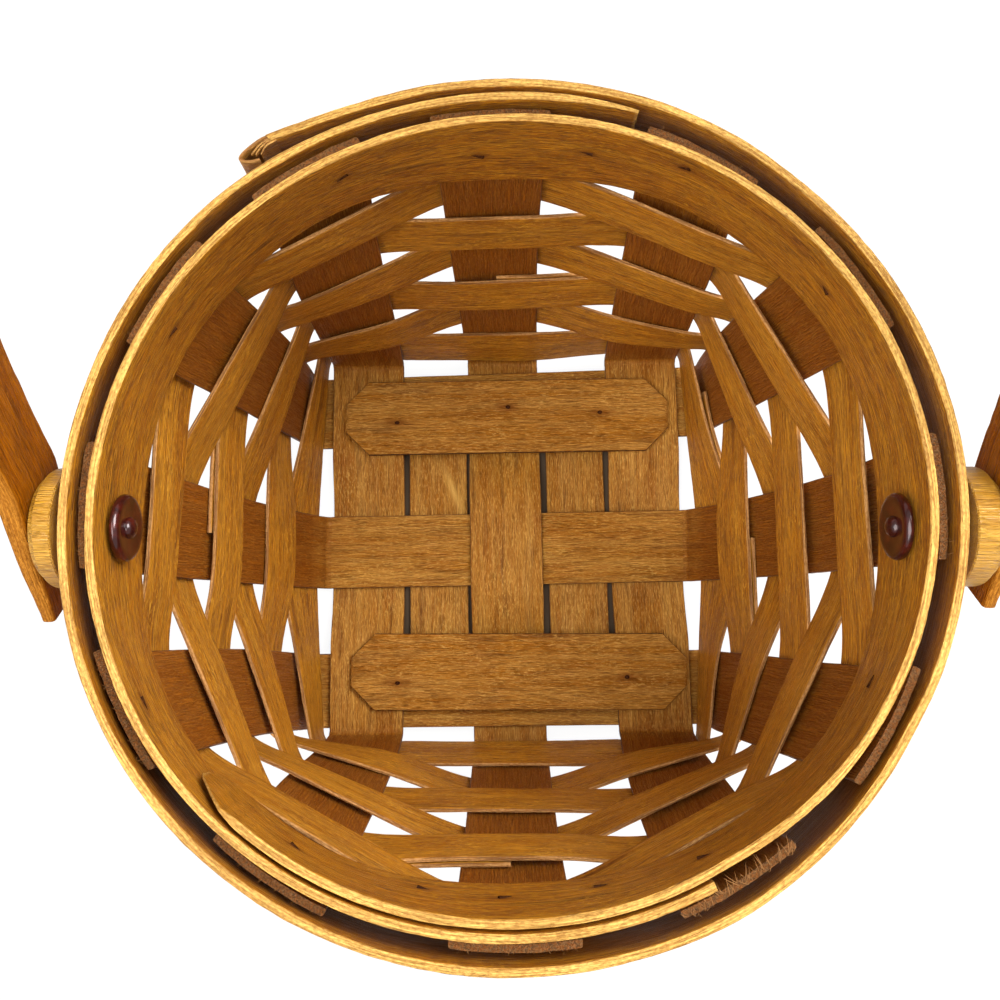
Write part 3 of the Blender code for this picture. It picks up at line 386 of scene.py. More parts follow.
def dress(piece, material, slot, *nodes, body="basket"):
    """Give a finished piece its material and body, and hide the CAD nodes it stands for. The slot is not
    used.
    """
    piece.data.materials.clear()
    piece.data.materials.append(material)
    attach(piece, body)
    if nodes:
        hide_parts(*nodes)


def splint_station(middle, across, inward, camber=0.0, stain=0.0, width=SPLINT_WIDTH):
    """A station of a splint at its middle line, hollowed by its camber."""
    low, high = (middle + across * (side * width / 2) + inward * camber for side in (-1, 1))
    return Station(low, high, inward, inward, -camber, SPLINT_THICKNESS, stain)


def base_corner_shade(along):
    """Painted shade that darkens the base towards its corners with the wall."""
    return CORNER_PAINTED_SHADE * smooth((abs(along) - BASE_HALF + CORNER_REACH) / CORNER_REACH)


def wall_stain_and_shade(height):
    """Up the wall the uprights darken, partly by deeper stain and partly by painted shade behind the
    weavers. The cut tops took little stain and get no painted shade.
    """
    bare = smooth((RIM_TOP - BARE_TOP - height) / BARE_TOP_EASE)
    return WALL_STAIN_AND_SHADE * smooth((height - WALL_STAIN_AND_SHADE_FOOT) / WALL_STAIN_AND_SHADE_EASE) * bare


def upright_stations(upright, side):
    """Stations from a fold up to an upright's cut top."""
    outward = Vector((cos(upright.facing), sin(upright.facing), 0))
    stations = []
    for angle in range(0, 90, 15):
        turn = radians(angle)
        middle = upright.foot - outward * FOLD_RADIUS * (1 - sin(turn))
        middle.z = upright.fold_top - FOLD_RADIUS * cos(turn)
        # Round the fold the painted shade deepens from the corner's to the fold's.
        stain = CORNER_PAINTED_SHADE + (FOLD_PAINTED_SHADE - CORNER_PAINTED_SHADE) * sin(turn)
        stations.append(splint_station(middle, side, UP * cos(turn) - outward * sin(turn),
                                       stain=max(stain, wall_stain_and_shade(middle.z))))
    for step in range(UPRIGHT_STEPS + 1):
        height = upright.fold_top + (UPRIGHT_TOP - upright.fold_top) * step / UPRIGHT_STEPS
        middle, outward, clockwise, camber = upright_section(upright, height)
        across = clockwise if clockwise.dot(side) > 0 else -clockwise
        # Above the fold its painted shade fades out, and the wall's stain and painted shade take over.
        stain = max(FOLD_PAINTED_SHADE * smooth(3 - height / FOLD_PAINTED_SHADE_FADE), wall_stain_and_shade(height))
        stations.append(splint_station(middle, across, -outward, camber, stain))
    return stations


def base_stations(splint):
    """Stations along the base, level on each plateau and eased between one and the next."""
    stations = []
    for before, after in zip(splint.plateaus, splint.plateaus[1:] + [None]):
        spots = [(before[0] + (before[1] - before[0]) * step / 5, level_middle(before[2]), 0.0)
                 for step in range(1 if stations else 0, 6)]
        if after:
            low, high = level_middle(before[2]), level_middle(after[2])
            reach = after[0] - before[1]
            spots += [(before[1] + reach * step / 8, low + smooth(step / 8) * (high - low),
                       6 * step / 8 * (1 - step / 8) * (high - low) / reach) for step in range(1, 8)]
        for along, height, slope in spots:
            middle = splint.run * along + splint.side * (splint.place + splint.skew * along) + UP * height
            inward = (UP - splint.run * slope).normalized()
            stations.append(splint_station(middle, splint.side, inward, stain=base_corner_shade(along)))
    return stations


def splint_uprights(splint):
    """The two upright ends of a splint, the first at the low end of its run."""
    uprights = []
    for side, plateau, end in zip((-1, 1), (splint.plateaus[0], splint.plateaus[-1]), splint.ends):
        along = side * (BASE_HALF - end.setback)
        foot = splint.run * along + splint.side * (splint.place + splint.skew * along)
        facing = atan2(side * splint.run.y, side * splint.run.x)
        fold_top = level_middle(plateau[2]) + FOLD_RADIUS
        uprights.append(Upright(foot, facing, radians(end.rim_angle), fold_top, end.bow, end.draw,
                                end.setback))
    return uprights


def splint_along_y(word, place, skew, end_level, middle_level, ends):
    """A splint along Y, on one level at its ends and another where it crosses the middle splint."""
    flat = BASE_HALF - FOLD_RADIUS
    front, middle, back = (X_PLACES[row] + X_SKEWS[row] * place for row in ("front", "middle", "back"))
    plateaus = [(ends[0].setback - flat, front + CROSSING_REACH, end_level),
                (middle - CROSSING_REACH, middle + CROSSING_REACH, middle_level),
                (back - CROSSING_REACH, flat - ends[1].setback, end_level)]
    return Splint(f"splint_y_{word}", ALONG_Y, ALONG_X, place, skew, plateaus, ends)


def splint_along_x(word, ends, sags=False):
    """A splint along X on the middle level, but for the sag on which the basket stands."""
    first, last = (side * (BASE_HALF - FOLD_RADIUS - end.setback) for side, end in zip((-1, 1), ends))
    plateaus = [(first, SAG[0][1], 2), (SAG[1][0], last, 2)]
    if sags:
        plateaus = [(first, SAG[0][0], 2), (SAG[0][1], SAG[1][0], 1), (SAG[1][1], last, 2)]
    return Splint(f"splint_x_{word}", ALONG_X, ALONG_Y, X_PLACES[word], X_SKEWS[word], plateaus, ends)


splints = [
    splint_along_y("left", -0.03635, -0.008, 3, 1,
                   [WallEnd(236.5, -0.6, 0.0, 0.0029), WallEnd(121.0, -0.6, 0.0, 0.002)]),
    splint_along_y("middle", -0.0001, -0.019, 1, 3,
                   [WallEnd(270.2, 0.7, 0.0, 0.0), WallEnd(93.0, 1.1, 0.0, 0.0)]),
    splint_along_y("right", 0.03685, -0.023, 3, 1,
                   [WallEnd(301.0, 0.2, 0.0006, 0.0033), WallEnd(61.5, 0.0, 0.0, 0.0004)]),
    splint_along_x("back", [WallEnd(148.0, -0.6, 0.0, 0.0), WallEnd(34.0, -0.3, 0.0003, 0.0)]),
    splint_along_x("middle", [WallEnd(179.5, 0.7, 0.0, 0.0031), WallEnd(1.5, 1.0, 0.0, 0.003)], sags=True),
    splint_along_x("front", [WallEnd(207.5, 0.6, 0.0008, 0.0), WallEnd(329.6, -0.1, 0.0005, 0.0)])]
pairs = [splint_uprights(splint) for splint in splints]
uprights = [last for _, last in pairs] + [first for first, _ in pairs[2::-1] + pairs[:2:-1]]

for number, (splint, (first, last)) in enumerate(zip(splints, pairs)):
    stations = upright_stations(first, splint.side)[::-1]
    stations += base_stations(splint)
    stations += upright_stations(last, splint.side)
    piece = build_strip(f"{splint.name}_dressed", stations, 1.0 + number,
                        ragged=(CUT_TOP_TEAR, CUT_TOP_TEAR))
    dress(piece, splint_wood, "splint_wood", splint.name)


# Frayed tops of the uprights
# The uprights were sawn off after the rim was on, so their tops are a brush of torn wood fibres that
# stand in the gap between the two bands. The longest lean over the inner band.

SHORT_FIBRES = {"Density": 2.0e6, "Length": 0.0011, "Thickness": 0.00009, "Lean": 0.3, "Curl": 60.0,
                "Facing": 0.0, "Spread": pi}
LONG_FIBRES = {"Density": 3.4e6, "Length": 0.0032, "Thickness": 0.00014, "Lean": 0.2, "Curl": 300.0,
               "Facing": uprights[6].rim_angle + pi, "Spread": 0.5}
FIBRE_TIP = 0.00001
SHORT_ROOT = 0.0006
LONG_ROOT = 0.001
TOP_PATCHES = 8
TOP_WIDTH_SHARE = 0.94
TOP_DEPTH_SHARE = 0.45

# Torn ash fibre: dull and dusty brown.
torn_wood = stained_wood("torn ash fibre", "8A5E34 5E3414 AE8250 40200E A07448 5A3418", 0.8, 0.3)


def new_tree(name, sizes):
    """An empty geometry tree with a mesh in and out and a named input for each size."""
    tree = bpy.data.node_groups.new(name, "GeometryNodeTree")
    tree.interface.new_socket("Geometry", in_out="INPUT", socket_type="NodeSocketGeometry")
    for size in sizes:
        tree.interface.new_socket(size, in_out="INPUT", socket_type="NodeSocketFloat")
    tree.interface.new_socket("Geometry", in_out="OUTPUT", socket_type="NodeSocketGeometry")
    return tree, add(tree, "NodeGroupInput").outputs


def finish_tree(tree, instances, material):
    """End a geometry tree with plain geometry in one material."""
    plain = add(tree, "GeometryNodeRealizeInstances", {"Geometry": instances}).outputs[0]
    painted = add(tree, "GeometryNodeSetMaterial", {"Geometry": plain, "Material": material}).outputs[0]
    add(tree, "NodeGroupOutput", {"Geometry": painted})


def grow(name, tree, mesh, sizes):
    """Run a geometry tree on a mesh and keep what it makes as one plain object."""
    piece = new_object(name, mesh)
    modifier = piece.modifiers.new("grow", "NODES")
    modifier.node_group = tree
    for item in tree.interface.items_tree:
        if item.name in sizes:
            modifier[item.identifier] = sizes[item.name]
    grown = bpy.data.meshes.new_from_object(piece.evaluated_get(bpy.context.evaluated_depsgraph_get()))
    piece.modifiers.remove(modifier)
    piece.data = grown
    return piece


tree, given = new_tree("torn fibres", SHORT_FIBRES)
spots = add(tree, "GeometryNodeDistributePointsOnFaces",
            {"Mesh": given["Geometry"], "Density": given["Density"], "Seed": 7}).outputs["Points"]
fibre = add(tree, "GeometryNodeMeshCone",
            {"Vertices": 4, "Side Segments": 4, "Radius Top": FIBRE_TIP,
             "Radius Bottom": given["Thickness"], "Depth": given["Length"]}).outputs[0]
spot = add(tree, "GeometryNodeInputPosition").outputs[0]
height = add(tree, "ShaderNodeSeparateXYZ", {0: spot}).outputs["Z"]
bend = add(tree, "ShaderNodeMath", {0: height, 1: height}, operation="MULTIPLY").outputs[0]
bend = add(tree, "ShaderNodeMath", {0: bend, 1: given["Curl"]}, operation="MULTIPLY").outputs[0]
shift = add(tree, "ShaderNodeCombineXYZ", {"X": bend}).outputs[0]
curled = add(tree, "GeometryNodeSetPosition", {"Geometry": fibre, "Offset": shift}).outputs[0]
middle = add(tree, "ShaderNodeCombineXYZ", {"Z": given["Facing"]}).outputs[0]
spread = add(tree, "ShaderNodeCombineXYZ",
             {"X": given["Lean"], "Y": given["Lean"], "Z": given["Spread"]}).outputs[0]
least = add(tree, "ShaderNodeVectorMath", {0: middle, 1: spread}, operation="SUBTRACT").outputs[0]
most = add(tree, "ShaderNodeVectorMath", {0: middle, 1: spread}, operation="ADD").outputs[0]
turn = add(tree, "FunctionNodeRandomValue", {0: least, 1: most, "Seed": 3}, data_type="FLOAT_VECTOR")
size = add(tree, "FunctionNodeRandomValue", {2: 0.25, 3: 1.0, "Seed": 5}, data_type="FLOAT")
placed = add(tree, "GeometryNodeInstanceOnPoints",
             {"Points": spots, "Instance": curled, "Rotation": turn.outputs[0],
              "Scale": size.outputs[1]}).outputs[0]
finish_tree(tree, placed, torn_wood)


def cut_tops(chosen, lower):
    """Small level patches on the cut tops of the chosen uprights."""
    verts, faces = [], []
    for upright in chosen:
        middle, outward, clockwise, _ = upright_section(upright, UPRIGHT_TOP - lower)
        half = outward * SPLINT_THICKNESS * TOP_DEPTH_SHARE
        for step in range(TOP_PATCHES):
            near, far = (middle + clockwise * SPLINT_WIDTH * (share / TOP_PATCHES - 0.5) * TOP_WIDTH_SHARE
                         for share in (step, step + 1))
            faces.append(tuple(range(len(verts), len(verts) + 4)))
            verts += [near - half, far - half, far + half, near + half]
    mesh = bpy.data.meshes.new("cut tops")
    mesh.from_pydata(verts, [], faces)
    return mesh


for name, chosen, root, sizes in (("short_fibres", uprights, SHORT_ROOT, SHORT_FIBRES),
                                  ("long_fibres", [uprights[6]], LONG_ROOT, LONG_FIBRES)):
    dress(grow(name, tree, cut_tops(chosen, root), sizes), torn_wood, "splint_wood")


# Filler splints
# Two narrower strips of the same stock close the base between the long ones. They are cut off inside
# the wall and held by the weave alone.

FILLER_WIDTH = 0.0156
FILLER_HALF = BASE_HALF - 0.0057
FILLER_STEPS = 180
FILLER_TEAR = 0.0002
FILLER_SCAR = Mark(Vector((-0.0142, 0.0154, SPLINT_THICKNESS)), Vector((0.37, -0.93, 0.0)), 0.0062, 0.001)
FILLERS = {"base_filler_left": (-0.017925, -0.014), "base_filler_right": (0.018625, -0.021)}

for number, (name, (place, skew)) in enumerate(FILLERS.items()):
    stations = []
    for step in range(FILLER_STEPS + 1):
        along = -FILLER_HALF + 2 * FILLER_HALF * step / FILLER_STEPS
        middle = Vector((place + skew * along, along, level_middle(1)))
        stations.append(splint_station(middle, ALONG_X, UP, width=FILLER_WIDTH))
    piece = build_strip(f"{name}_dressed", stations, 11.0 + number, across=24,
                        ragged=(FILLER_TEAR, FILLER_TEAR), scars=[FILLER_SCAR])
    dress(piece, splint_wood, "splint_wood", name)


# Battens
# Two eight-sided boards nailed across the base from inside, of thin sawn ash with broken arrises,
# worn by what the basket carried. Their edges are painted nearly black: partly dark stain, partly
# painted shade where they meet the base.

BATTEN_CLIP = 0.006
BATTEN_END_EASE = 0.0004
BATTEN_END_REACH = 0.0006
BATTEN_WANDER = 0.0001
BATTEN_STEPS = 120
CLIP_STEPS = 8
BATTEN_RUST = (0.0034, 0.0011)
BATTEN_TACKS = {"base_batten_back": [(-0.0289, -0.0013), (0.0003, 0.0024), (0.0245, 0.0006)],
                "base_batten_front": [(-0.0309, -0.0028), (0.0275, -0.0014)]}
BATTENS = {"base_batten_back": (0.0848, 0.0196, 0.0001, X_PLACES["back"] - 0.00305, radians(0.9)),
           "base_batten_front": (0.0856, 0.0194, 0.003, X_PLACES["front"] + 0.00465, 0.0)}

# Sawn ash board, worn: browner than the splints. Its nearly black edges are dark stain together with painted
# shade where they meet the base.
batten_wood = stained_wood("worn ash batten", "B4741C 884C0A DCA854 4E2206 4A260E 1E0C04", 0.52, 0.42)

batten_tops = []
for number, (name, (length, width, x, y, turn)) in enumerate(BATTENS.items()):
    bottom, top = (corner[2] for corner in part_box(name))
    place = Matrix.Translation((x, y, (bottom + top) / 2)) @ Matrix.Rotation(turn, 4, "Z")
    tops = [place @ Vector((tack_x, tack_y, (top - bottom) / 2)) for tack_x, tack_y in BATTEN_TACKS[name]]
    batten_tops += tops
    flat = length - 2 * BATTEN_CLIP
    spots = [-length / 2 + BATTEN_CLIP * step / CLIP_STEPS for step in range(CLIP_STEPS + 1)]
    spots += [flat * (step / BATTEN_STEPS - 0.5) for step in range(1, BATTEN_STEPS + 1)]
    spots += [flat / 2 + BATTEN_CLIP * step / CLIP_STEPS for step in range(1, CLIP_STEPS + 1)]
    stations = []
    for along in spots:
        half = width / 2 - max(abs(along) - flat / 2, 0.0)
        ease = BATTEN_END_EASE * max(1 - (length / 2 - abs(along)) / BATTEN_END_REACH, 0.0)
        low, high = (place @ Vector((along, sign * half, 0)) for sign in (-1, 1))
        stations.append(Station(low, high, UP, UP, 0.0, top - bottom - 2 * ease, 0.0))
    piece = build_strip(f"{name}_dressed", stations, 41.0 + number, ARRIS, 30, BATTEN_WANDER,
                        marks=[Mark(spot, ALONG_X, *BATTEN_RUST) for spot in tops])
    dress(piece, batten_wood, "batten_wood", name)


# Weavers
# Six hoops of thinner split ash, woven in and out of the uprights while damp and lapped behind an
# upright. They took the stain lighter than the uprights, and their split edges show paler.

WEAVER_THICKNESS = 0.0009
WEAVER_GAP = 0.00015
WEAVER_REACH = SPLINT_WIDTH / 2 + 0.0004
WEAVER_ARRIS = 0.0002
WEAVER_WANDER = 0.00025
WEAVER_TEAR = 0.0004
STIFFNESS = 0.75
LAP_STARTS = [3, 4, 1, 10, 7, 6]
CHANGE_STEPS = 10

# Ash weaver, split thin and oil stained: golden brown and more boldly streaked than the uprights.
weaver_wood = stained_wood("stained ash weaver", "C67E10 8E5008 E0A434 5A2804 D09A5C 4C220A",
                           bold=0.6, speck=0.55)


def bent(start, start_way, end, end_way, share):
    """Point and direction on a curve that leaves its start one way and comes to its end another way."""
    length = (end - start).length
    leave = length * share * (1 - share) * (1 - share)
    arrive = length * share * share * (1 - share)
    point = start.lerp(end, smooth(share)) + start_way * leave - end_way * arrive
    direction = ((end - start) * 6 * share * (1 - share)
                 + start_way * length * (1 - share) * (1 - 3 * share)
                 - end_way * length * share * (2 - 3 * share))
    return point, direction.normalized()


def weaver_corners(stops, height):
    """Where a weaver comes to and leaves each upright, as pairs of (point, the weaver's direction).

    A weaver is stiff. Inside an upright it keeps near the straight line between its neighbours. Its
    direction follows the gap beside the upright, and it never bulges into an upright.
    """
    places = []
    for upright, offset, _ in stops:
        middle, outward, clockwise, camber = upright_section(upright, height)
        tilt = atan2(camber, SPLINT_WIDTH / 2)
        pair = []
        for part in (-1, 1):
            normal = outward * cos(tilt) + clockwise * part * sin(tilt)
            pair.append(middle + (clockwise * part - outward * tan(tilt)) * WEAVER_REACH + normal * offset)
        places.append((pair, outward, offset))
    for before, (pair, outward, offset), after in zip(places, places[1:], places[2:]):
        start, chord = before[0][1], after[0][0] - before[0][1]
        for part in range(2 if offset < 0 else 0):
            straight = start + chord * (pair[part] - start).dot(chord) / chord.dot(chord)
            if (straight - pair[part]).dot(outward) < 0:
                pair[part] = pair[part].lerp(straight, STIFFNESS)
    corners = []
    for index, (pair, outward, offset) in enumerate(places):
        on_upright = (pair[1] - pair[0]).normalized()
        ways = []
        for part, beside in ((-1, index - 1), (1, index + 1)):
            way = on_upright
            if 0 <= beside < len(places):
                gap = pair[0] - places[beside][0][1] if part < 0 else places[beside][0][0] - pair[1]
                way = on_upright.lerp(gap.normalized(), STIFFNESS).normalized()
                if part * offset * way.dot(outward) > 0:
                    way = on_upright
            ways.append(way)
        corners.append(list(zip(pair, ways)))
    return corners


def weaver_line(stops, height):
    """Middle line of a weaver at a height, as (point, outward normal)."""
    line = []
    before = None
    for (_, _, parts), (first, last) in zip(stops, weaver_corners(stops, height)):
        if before:
            line += [bent(*before, *first, step / CHANGE_STEPS) for step in range(1, CHANGE_STEPS)]
        line += [bent(*first, *last, (part + 1) / 2) for part in parts]
        before = last
    return [(point, Vector((-way.y, way.x, 0))) for point, way in line]


for row, lap in enumerate(LAP_STARTS):
    seat = (SPLINT_THICKNESS + WEAVER_THICKNESS) / 2 + WEAVER_GAP
    lapped = seat + WEAVER_THICKNESS + WEAVER_GAP
    stops = []
    for step in range(len(uprights) + 2):
        index = (lap + step) % len(uprights)
        side = 1 if (index + row) % 2 == 0 else -1
        offset = side * (lapped if step in (1, len(uprights)) else seat)
        first, last = 0 if step == 0 else -4, 0 if step == len(uprights) + 1 else 4
        stops.append((uprights[index], offset, [part / 4 for part in range(first, last + 1)]))
    name = f"weaver_row_{row + 1}"
    edges = zip(*(weaver_line(stops, corner[2]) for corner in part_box(name)))
    stations = [Station(low, high, low_out, high_out, 0.0, WEAVER_THICKNESS, 0.0)
                for (low, low_out), (high, high_out) in edges]
    piece = build_strip(f"{name}_dressed", stations, 21.0 + row, WEAVER_ARRIS, wander=WEAVER_WANDER,
                        ragged=(WEAVER_TEAR, WEAVER_TEAR))
    dress(piece, weaver_wood, "weaver_wood", name)


# Rim bands
# Two sawn ash bands, steamed and bent round the uprights' tops, one inside and one outside, each
# lapped on itself. Their sawn top faces stayed pale, since the stain was rubbed off there.

BAND_THICKNESS = 0.0015
BAND_LAYER_GAP = 0.0004
BAND_ARRIS = 0.00028
BAND_WANDER = 0.0003
INNER_BAND_TEAR = (0.0006, 0.0004)
OUTER_BAND_TEAR = (0.0004, 0.0009)
BAND_STEP = radians(0.7)
INNER_BAND_CLEARANCE = 0.00045
INNER_BAND_PATH = [(226, 1, 0.0), (301, 1, 0.0), (325, 0.4, 0.0), (355, 0, 0.0002), (405, 0, 0.0002),
                   (435, 0, 0.0), (658, 0, 0.0)]
OUTER_BAND_PATH = [(72, 0, 0.0), (100, 0, 0.0), (120, 0, 0.0003), (135, 0, 0.0006), (165, 0, 0.0003),
                   (240, 0, 0.0006), (285, 0, 0.001), (300, 0, 0.0012), (330, 0, 0.0002),
                   (360, 0, 0.0007), (405, 0, 0.0009), (430, 1, 0.0), (450, 1, 0.0003), (465, 1, 0.0005),
                   (472, 1, 0.00075), (478.5, 1, 0.00135), (483.6, 1, 0.0023)]
INNER_SCARF = radians(3)
OUTER_SCARF = radians(10)
SCARF_TIP = 0.0006
INNER_TIP = radians(219.5)
INNER_TIP_HEIGHT = RIM_TOP - 0.0085
INNER_TIP_DEPTH = 0.001
SLANT_STEPS = 10
RUST_LENGTH = 0.0022
INNER_RUST_WIDTH = 0.0011
OUTER_RUST_WIDTH = 0.0016
RIM_TACKS = [(95.0, 0.0103), (77.9, 0.0127), (63.0, 0.0176), (116.5, 0.0149), (151.6, 0.0122),
             (207.4, 0.0159), (334.5, 0.0108), (35.4, 0.0124), (237.0, 0.0128), (256.4, 0.008),
             (268.6, 0.0099), (283.0, 0.0081), (298.7, 0.0129)]

# Bent ash band, oil stained: golden brown with bold streaks, and pale yellow where it was sawn.
band_wood = stained_wood("bent ash rim band", "BE740A 7E4404 DE9E26 421C02 DEAE5A 96682A",
                         bold=0.7, speck=0.55)


def band_offset(path, angle, side, clearance):
    """Offset of a band's middle from the uprights' ring, inside it or outside it."""
    for before, after in zip(path, path[1:]):
        if angle <= radians(after[0]):
            break
    share = (angle - radians(before[0])) / radians(after[0] - before[0])
    layers, slack = (before[value] + share * (after[value] - before[value]) for value in (1, 2))
    seat = SPLINT_THICKNESS / 2 + clearance + BAND_THICKNESS / 2
    return side * (seat + layers * (BAND_THICKNESS + BAND_LAYER_GAP) + slack)


def inner_offset(angle):
    """Offset of the inner band's middle from the uprights' ring."""
    return band_offset(INNER_BAND_PATH, angle, -1, INNER_BAND_CLEARANCE)


def outer_offset(angle):
    """Offset of the outer band's middle from the uprights' ring."""
    return band_offset(OUTER_BAND_PATH, angle, 1, FIT_GAP)


def passes(path, angle):
    """The angles at which a band that laps on itself passes one direction."""
    turns = [angle + turn * 2 * pi for turn in range(3)]
    return [turn for turn in turns if radians(path[0][0]) <= turn <= radians(path[-1][0])]


def band_station(angle, offset, thickness, low=RIM_BOTTOM, high=RIM_TOP):
    """A station of a band at an angle."""
    outward = Vector((cos(angle), sin(angle), 0))
    return Station(rim_point(angle, low, offset), rim_point(angle, high, offset), outward, outward, 0.0,
                   thickness, 0.0)


def band_stations(path, offset_at, scarf):
    """Stations along a band, with its first end shaved thin over a scarf."""
    first, last = radians(path[0][0]), radians(path[-1][0])
    steps = round((last - first) / BAND_STEP)
    stations = []
    for step in range(steps + 1):
        angle = first + step / steps * (last - first)
        share = min((angle - first) / scarf, 1.0)
        thickness = SCARF_TIP + share * (BAND_THICKNESS - SCARF_TIP)
        stations.append(band_station(angle, offset_at(angle), thickness))
    return stations


def rust_marks(spots, width):
    """Dark marks round the tacks at these spots, drawn out along the band."""
    return [Mark(spot, Vector((-sin(angle), cos(angle), 0)), RUST_LENGTH, width) for spot, angle in spots]


inner_start = radians(INNER_BAND_PATH[0][0])
inner_stations = band_stations(INNER_BAND_PATH, inner_offset, INNER_SCARF)
for step in range(1, SLANT_STEPS):
    share = step / SLANT_STEPS
    top = RIM_TOP + share * (INNER_TIP_HEIGHT - RIM_TOP)
    bottom = RIM_BOTTOM + share * share * (INNER_TIP_HEIGHT - INNER_TIP_DEPTH - RIM_BOTTOM)
    angle = inner_start + share * (INNER_TIP - inner_start)
    inner_stations.insert(0, band_station(angle, inner_offset(inner_start), SCARF_TIP * (1 - 0.5 * share),
                                          bottom, top))
inner_spots, outer_spots = [], []
for degrees_round, lift in RIM_TACKS:
    angle = radians(degrees_round)
    inner_face = min(inner_offset(turn) for turn in passes(INNER_BAND_PATH, angle)) - BAND_THICKNESS / 2
    outer_face = max(outer_offset(turn) for turn in passes(OUTER_BAND_PATH, angle)) + BAND_THICKNESS / 2
    inner_spots.append((rim_point(angle, RIM_BOTTOM + lift, inner_face), angle))
    outer_spots.append((rim_point(angle, RIM_BOTTOM + lift, outer_face), angle))
# The last argument picks the face turned into the gap between the bands, which gets painted shade.
piece = build_strip("rim_band_inner_dressed", inner_stations, 31.0, BAND_ARRIS, 24, BAND_WANDER,
                    INNER_BAND_TEAR, rust_marks(inner_spots, INNER_RUST_WIDTH), 1)
dress(piece, band_wood, "band_wood", "rim_band_inner")
piece = build_strip("rim_band_outer_dressed", band_stations(OUTER_BAND_PATH, outer_offset, OUTER_SCARF),
                    32.0, BAND_ARRIS, 24, BAND_WANDER, OUTER_BAND_TEAR,
                    rust_marks(outer_spots, OUTER_RUST_WIDTH), -1)
dress(piece, band_wood, "band_wood", "rim_band_outer")


# Loose end of the outer band
# The outer band's end has split. Its outer ply curls round as a thin strip and tucks in behind, and
# the inner plies stand torn inside the loop, each a little shorter than the one outside it.

END_STRIP_THICKNESS = 0.0006
END_LOOP_REACH = 0.0042
END_LOOP_NOSE_DROP = 0.0008
END_LOOP_TURN = radians(155)
END_LOOP_STEPS = 40
STRIP_OVERLAP = 0.0012
STRIP_WANDER = 0.0002
STRIP_TEAR = 0.0006
PLY_THICKNESS = 0.0004
PLY_REACHES = [0.0033, 0.0027, 0.002]
PLY_STEPS = 12
PLY_CURL = 0.0008
PLY_FOOT = 0.002
PLY_FOOT_RISE = 0.004
PLY_TOP = 0.0002
PLY_TOP_FALL = 0.0005
PLY_ARRIS = 0.0001
PLY_TEAR = 0.0012

strip_low, strip_high = (corner[2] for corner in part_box("rim_end_strip"))
band_end = radians(OUTER_BAND_PATH[-1][0])
under_face = outer_offset(band_end - 2 * pi) + BAND_THICKNESS / 2
strip_start = outer_offset(band_end) + (BAND_THICKNESS - END_STRIP_THICKNESS) / 2
nose = strip_start - END_LOOP_NOSE_DROP
fall = (nose - under_face - 2 * FIT_GAP - END_STRIP_THICKNESS / 2) / -cos(END_LOOP_TURN)

# Split ash, bare where it came apart: duller and greyer than the band.
ply_wood = stained_wood("split ash ply", "AC7024 784212 CC943C 48220A C49450 744420")

stations = []
for step in range(4):
    share = 1 - step / 4
    stations.append(band_station(band_end - STRIP_OVERLAP * share / RIM_RADIUS,
                                 strip_start - FIT_GAP * share, END_STRIP_THICKNESS, strip_low, strip_high))
for step in range(END_LOOP_STEPS + 1):
    turn = END_LOOP_TURN * step / END_LOOP_STEPS
    height = END_LOOP_NOSE_DROP if cos(turn) > 0 else fall
    facing = Vector((sin(turn) / END_LOOP_REACH, cos(turn) / height)).normalized()
    angle = band_end + (FIT_GAP + END_LOOP_REACH * sin(turn)) / RIM_RADIUS
    offset = nose + height * cos(turn)
    outward = Vector((cos(angle), sin(angle), 0))
    onward = Vector((-sin(angle), cos(angle), 0))
    normal = outward * facing.y + onward * facing.x
    stations.append(Station(rim_point(angle, strip_low, offset), rim_point(angle, strip_high, offset),
                            normal, normal, 0.0, END_STRIP_THICKNESS, 0.0))
piece = build_strip("rim_end_strip_dressed", stations, 33.0, ARRIS, 12, STRIP_WANDER, (0.0, STRIP_TEAR))
dress(piece, ply_wood, "band_wood", "rim_end_strip")

for number, reach in enumerate(PLY_REACHES):
    offset = strip_start - END_STRIP_THICKNESS / 2 - PLY_THICKNESS * (number + 0.5)
    stations = []
    for step in range(PLY_STEPS + 1):
        onward = (reach + STRIP_OVERLAP) * step / PLY_STEPS - STRIP_OVERLAP
        share = max(onward / reach, 0.0)
        stations.append(band_station(band_end + onward / RIM_RADIUS, offset - PLY_CURL * share * share,
                                     PLY_THICKNESS * (1 - 0.3 * share),
                                     RIM_BOTTOM + PLY_FOOT + PLY_FOOT_RISE * share,
                                     RIM_TOP - PLY_TOP - PLY_TOP_FALL * share))
    piece = build_strip(f"torn_ply_{number + 1}", stations, 36.0 + number, PLY_ARRIS, 20, BAND_WANDER,
                        (0.0, PLY_TEAR))
    dress(piece, ply_wood, "band_wood")


# Tacks
# Small iron tacks, driven through both rim bands from outside with their points clinched flush along
# the grain inside, and shorter ones sunk in the battens. Rust has darkened the wood round them.

TACK_SIZES = {"Head Radius": 0.0018, "Head Crown": 0.0009, "Head Height": 0.000648, "Point Length": 0.0022,
              "Point Width": 0.00036, "Point Tip": 0.000054, "Sunk Radius": 0.0005}
TACK_SHAPES = ["head", "point", "sunk head"]
POINT_PLACE = (-0.0008, 0.0, -0.00006)
SUNK_SHARES = (1.3, 1.0, 0.35)
SUNK_RISE = 0.00002

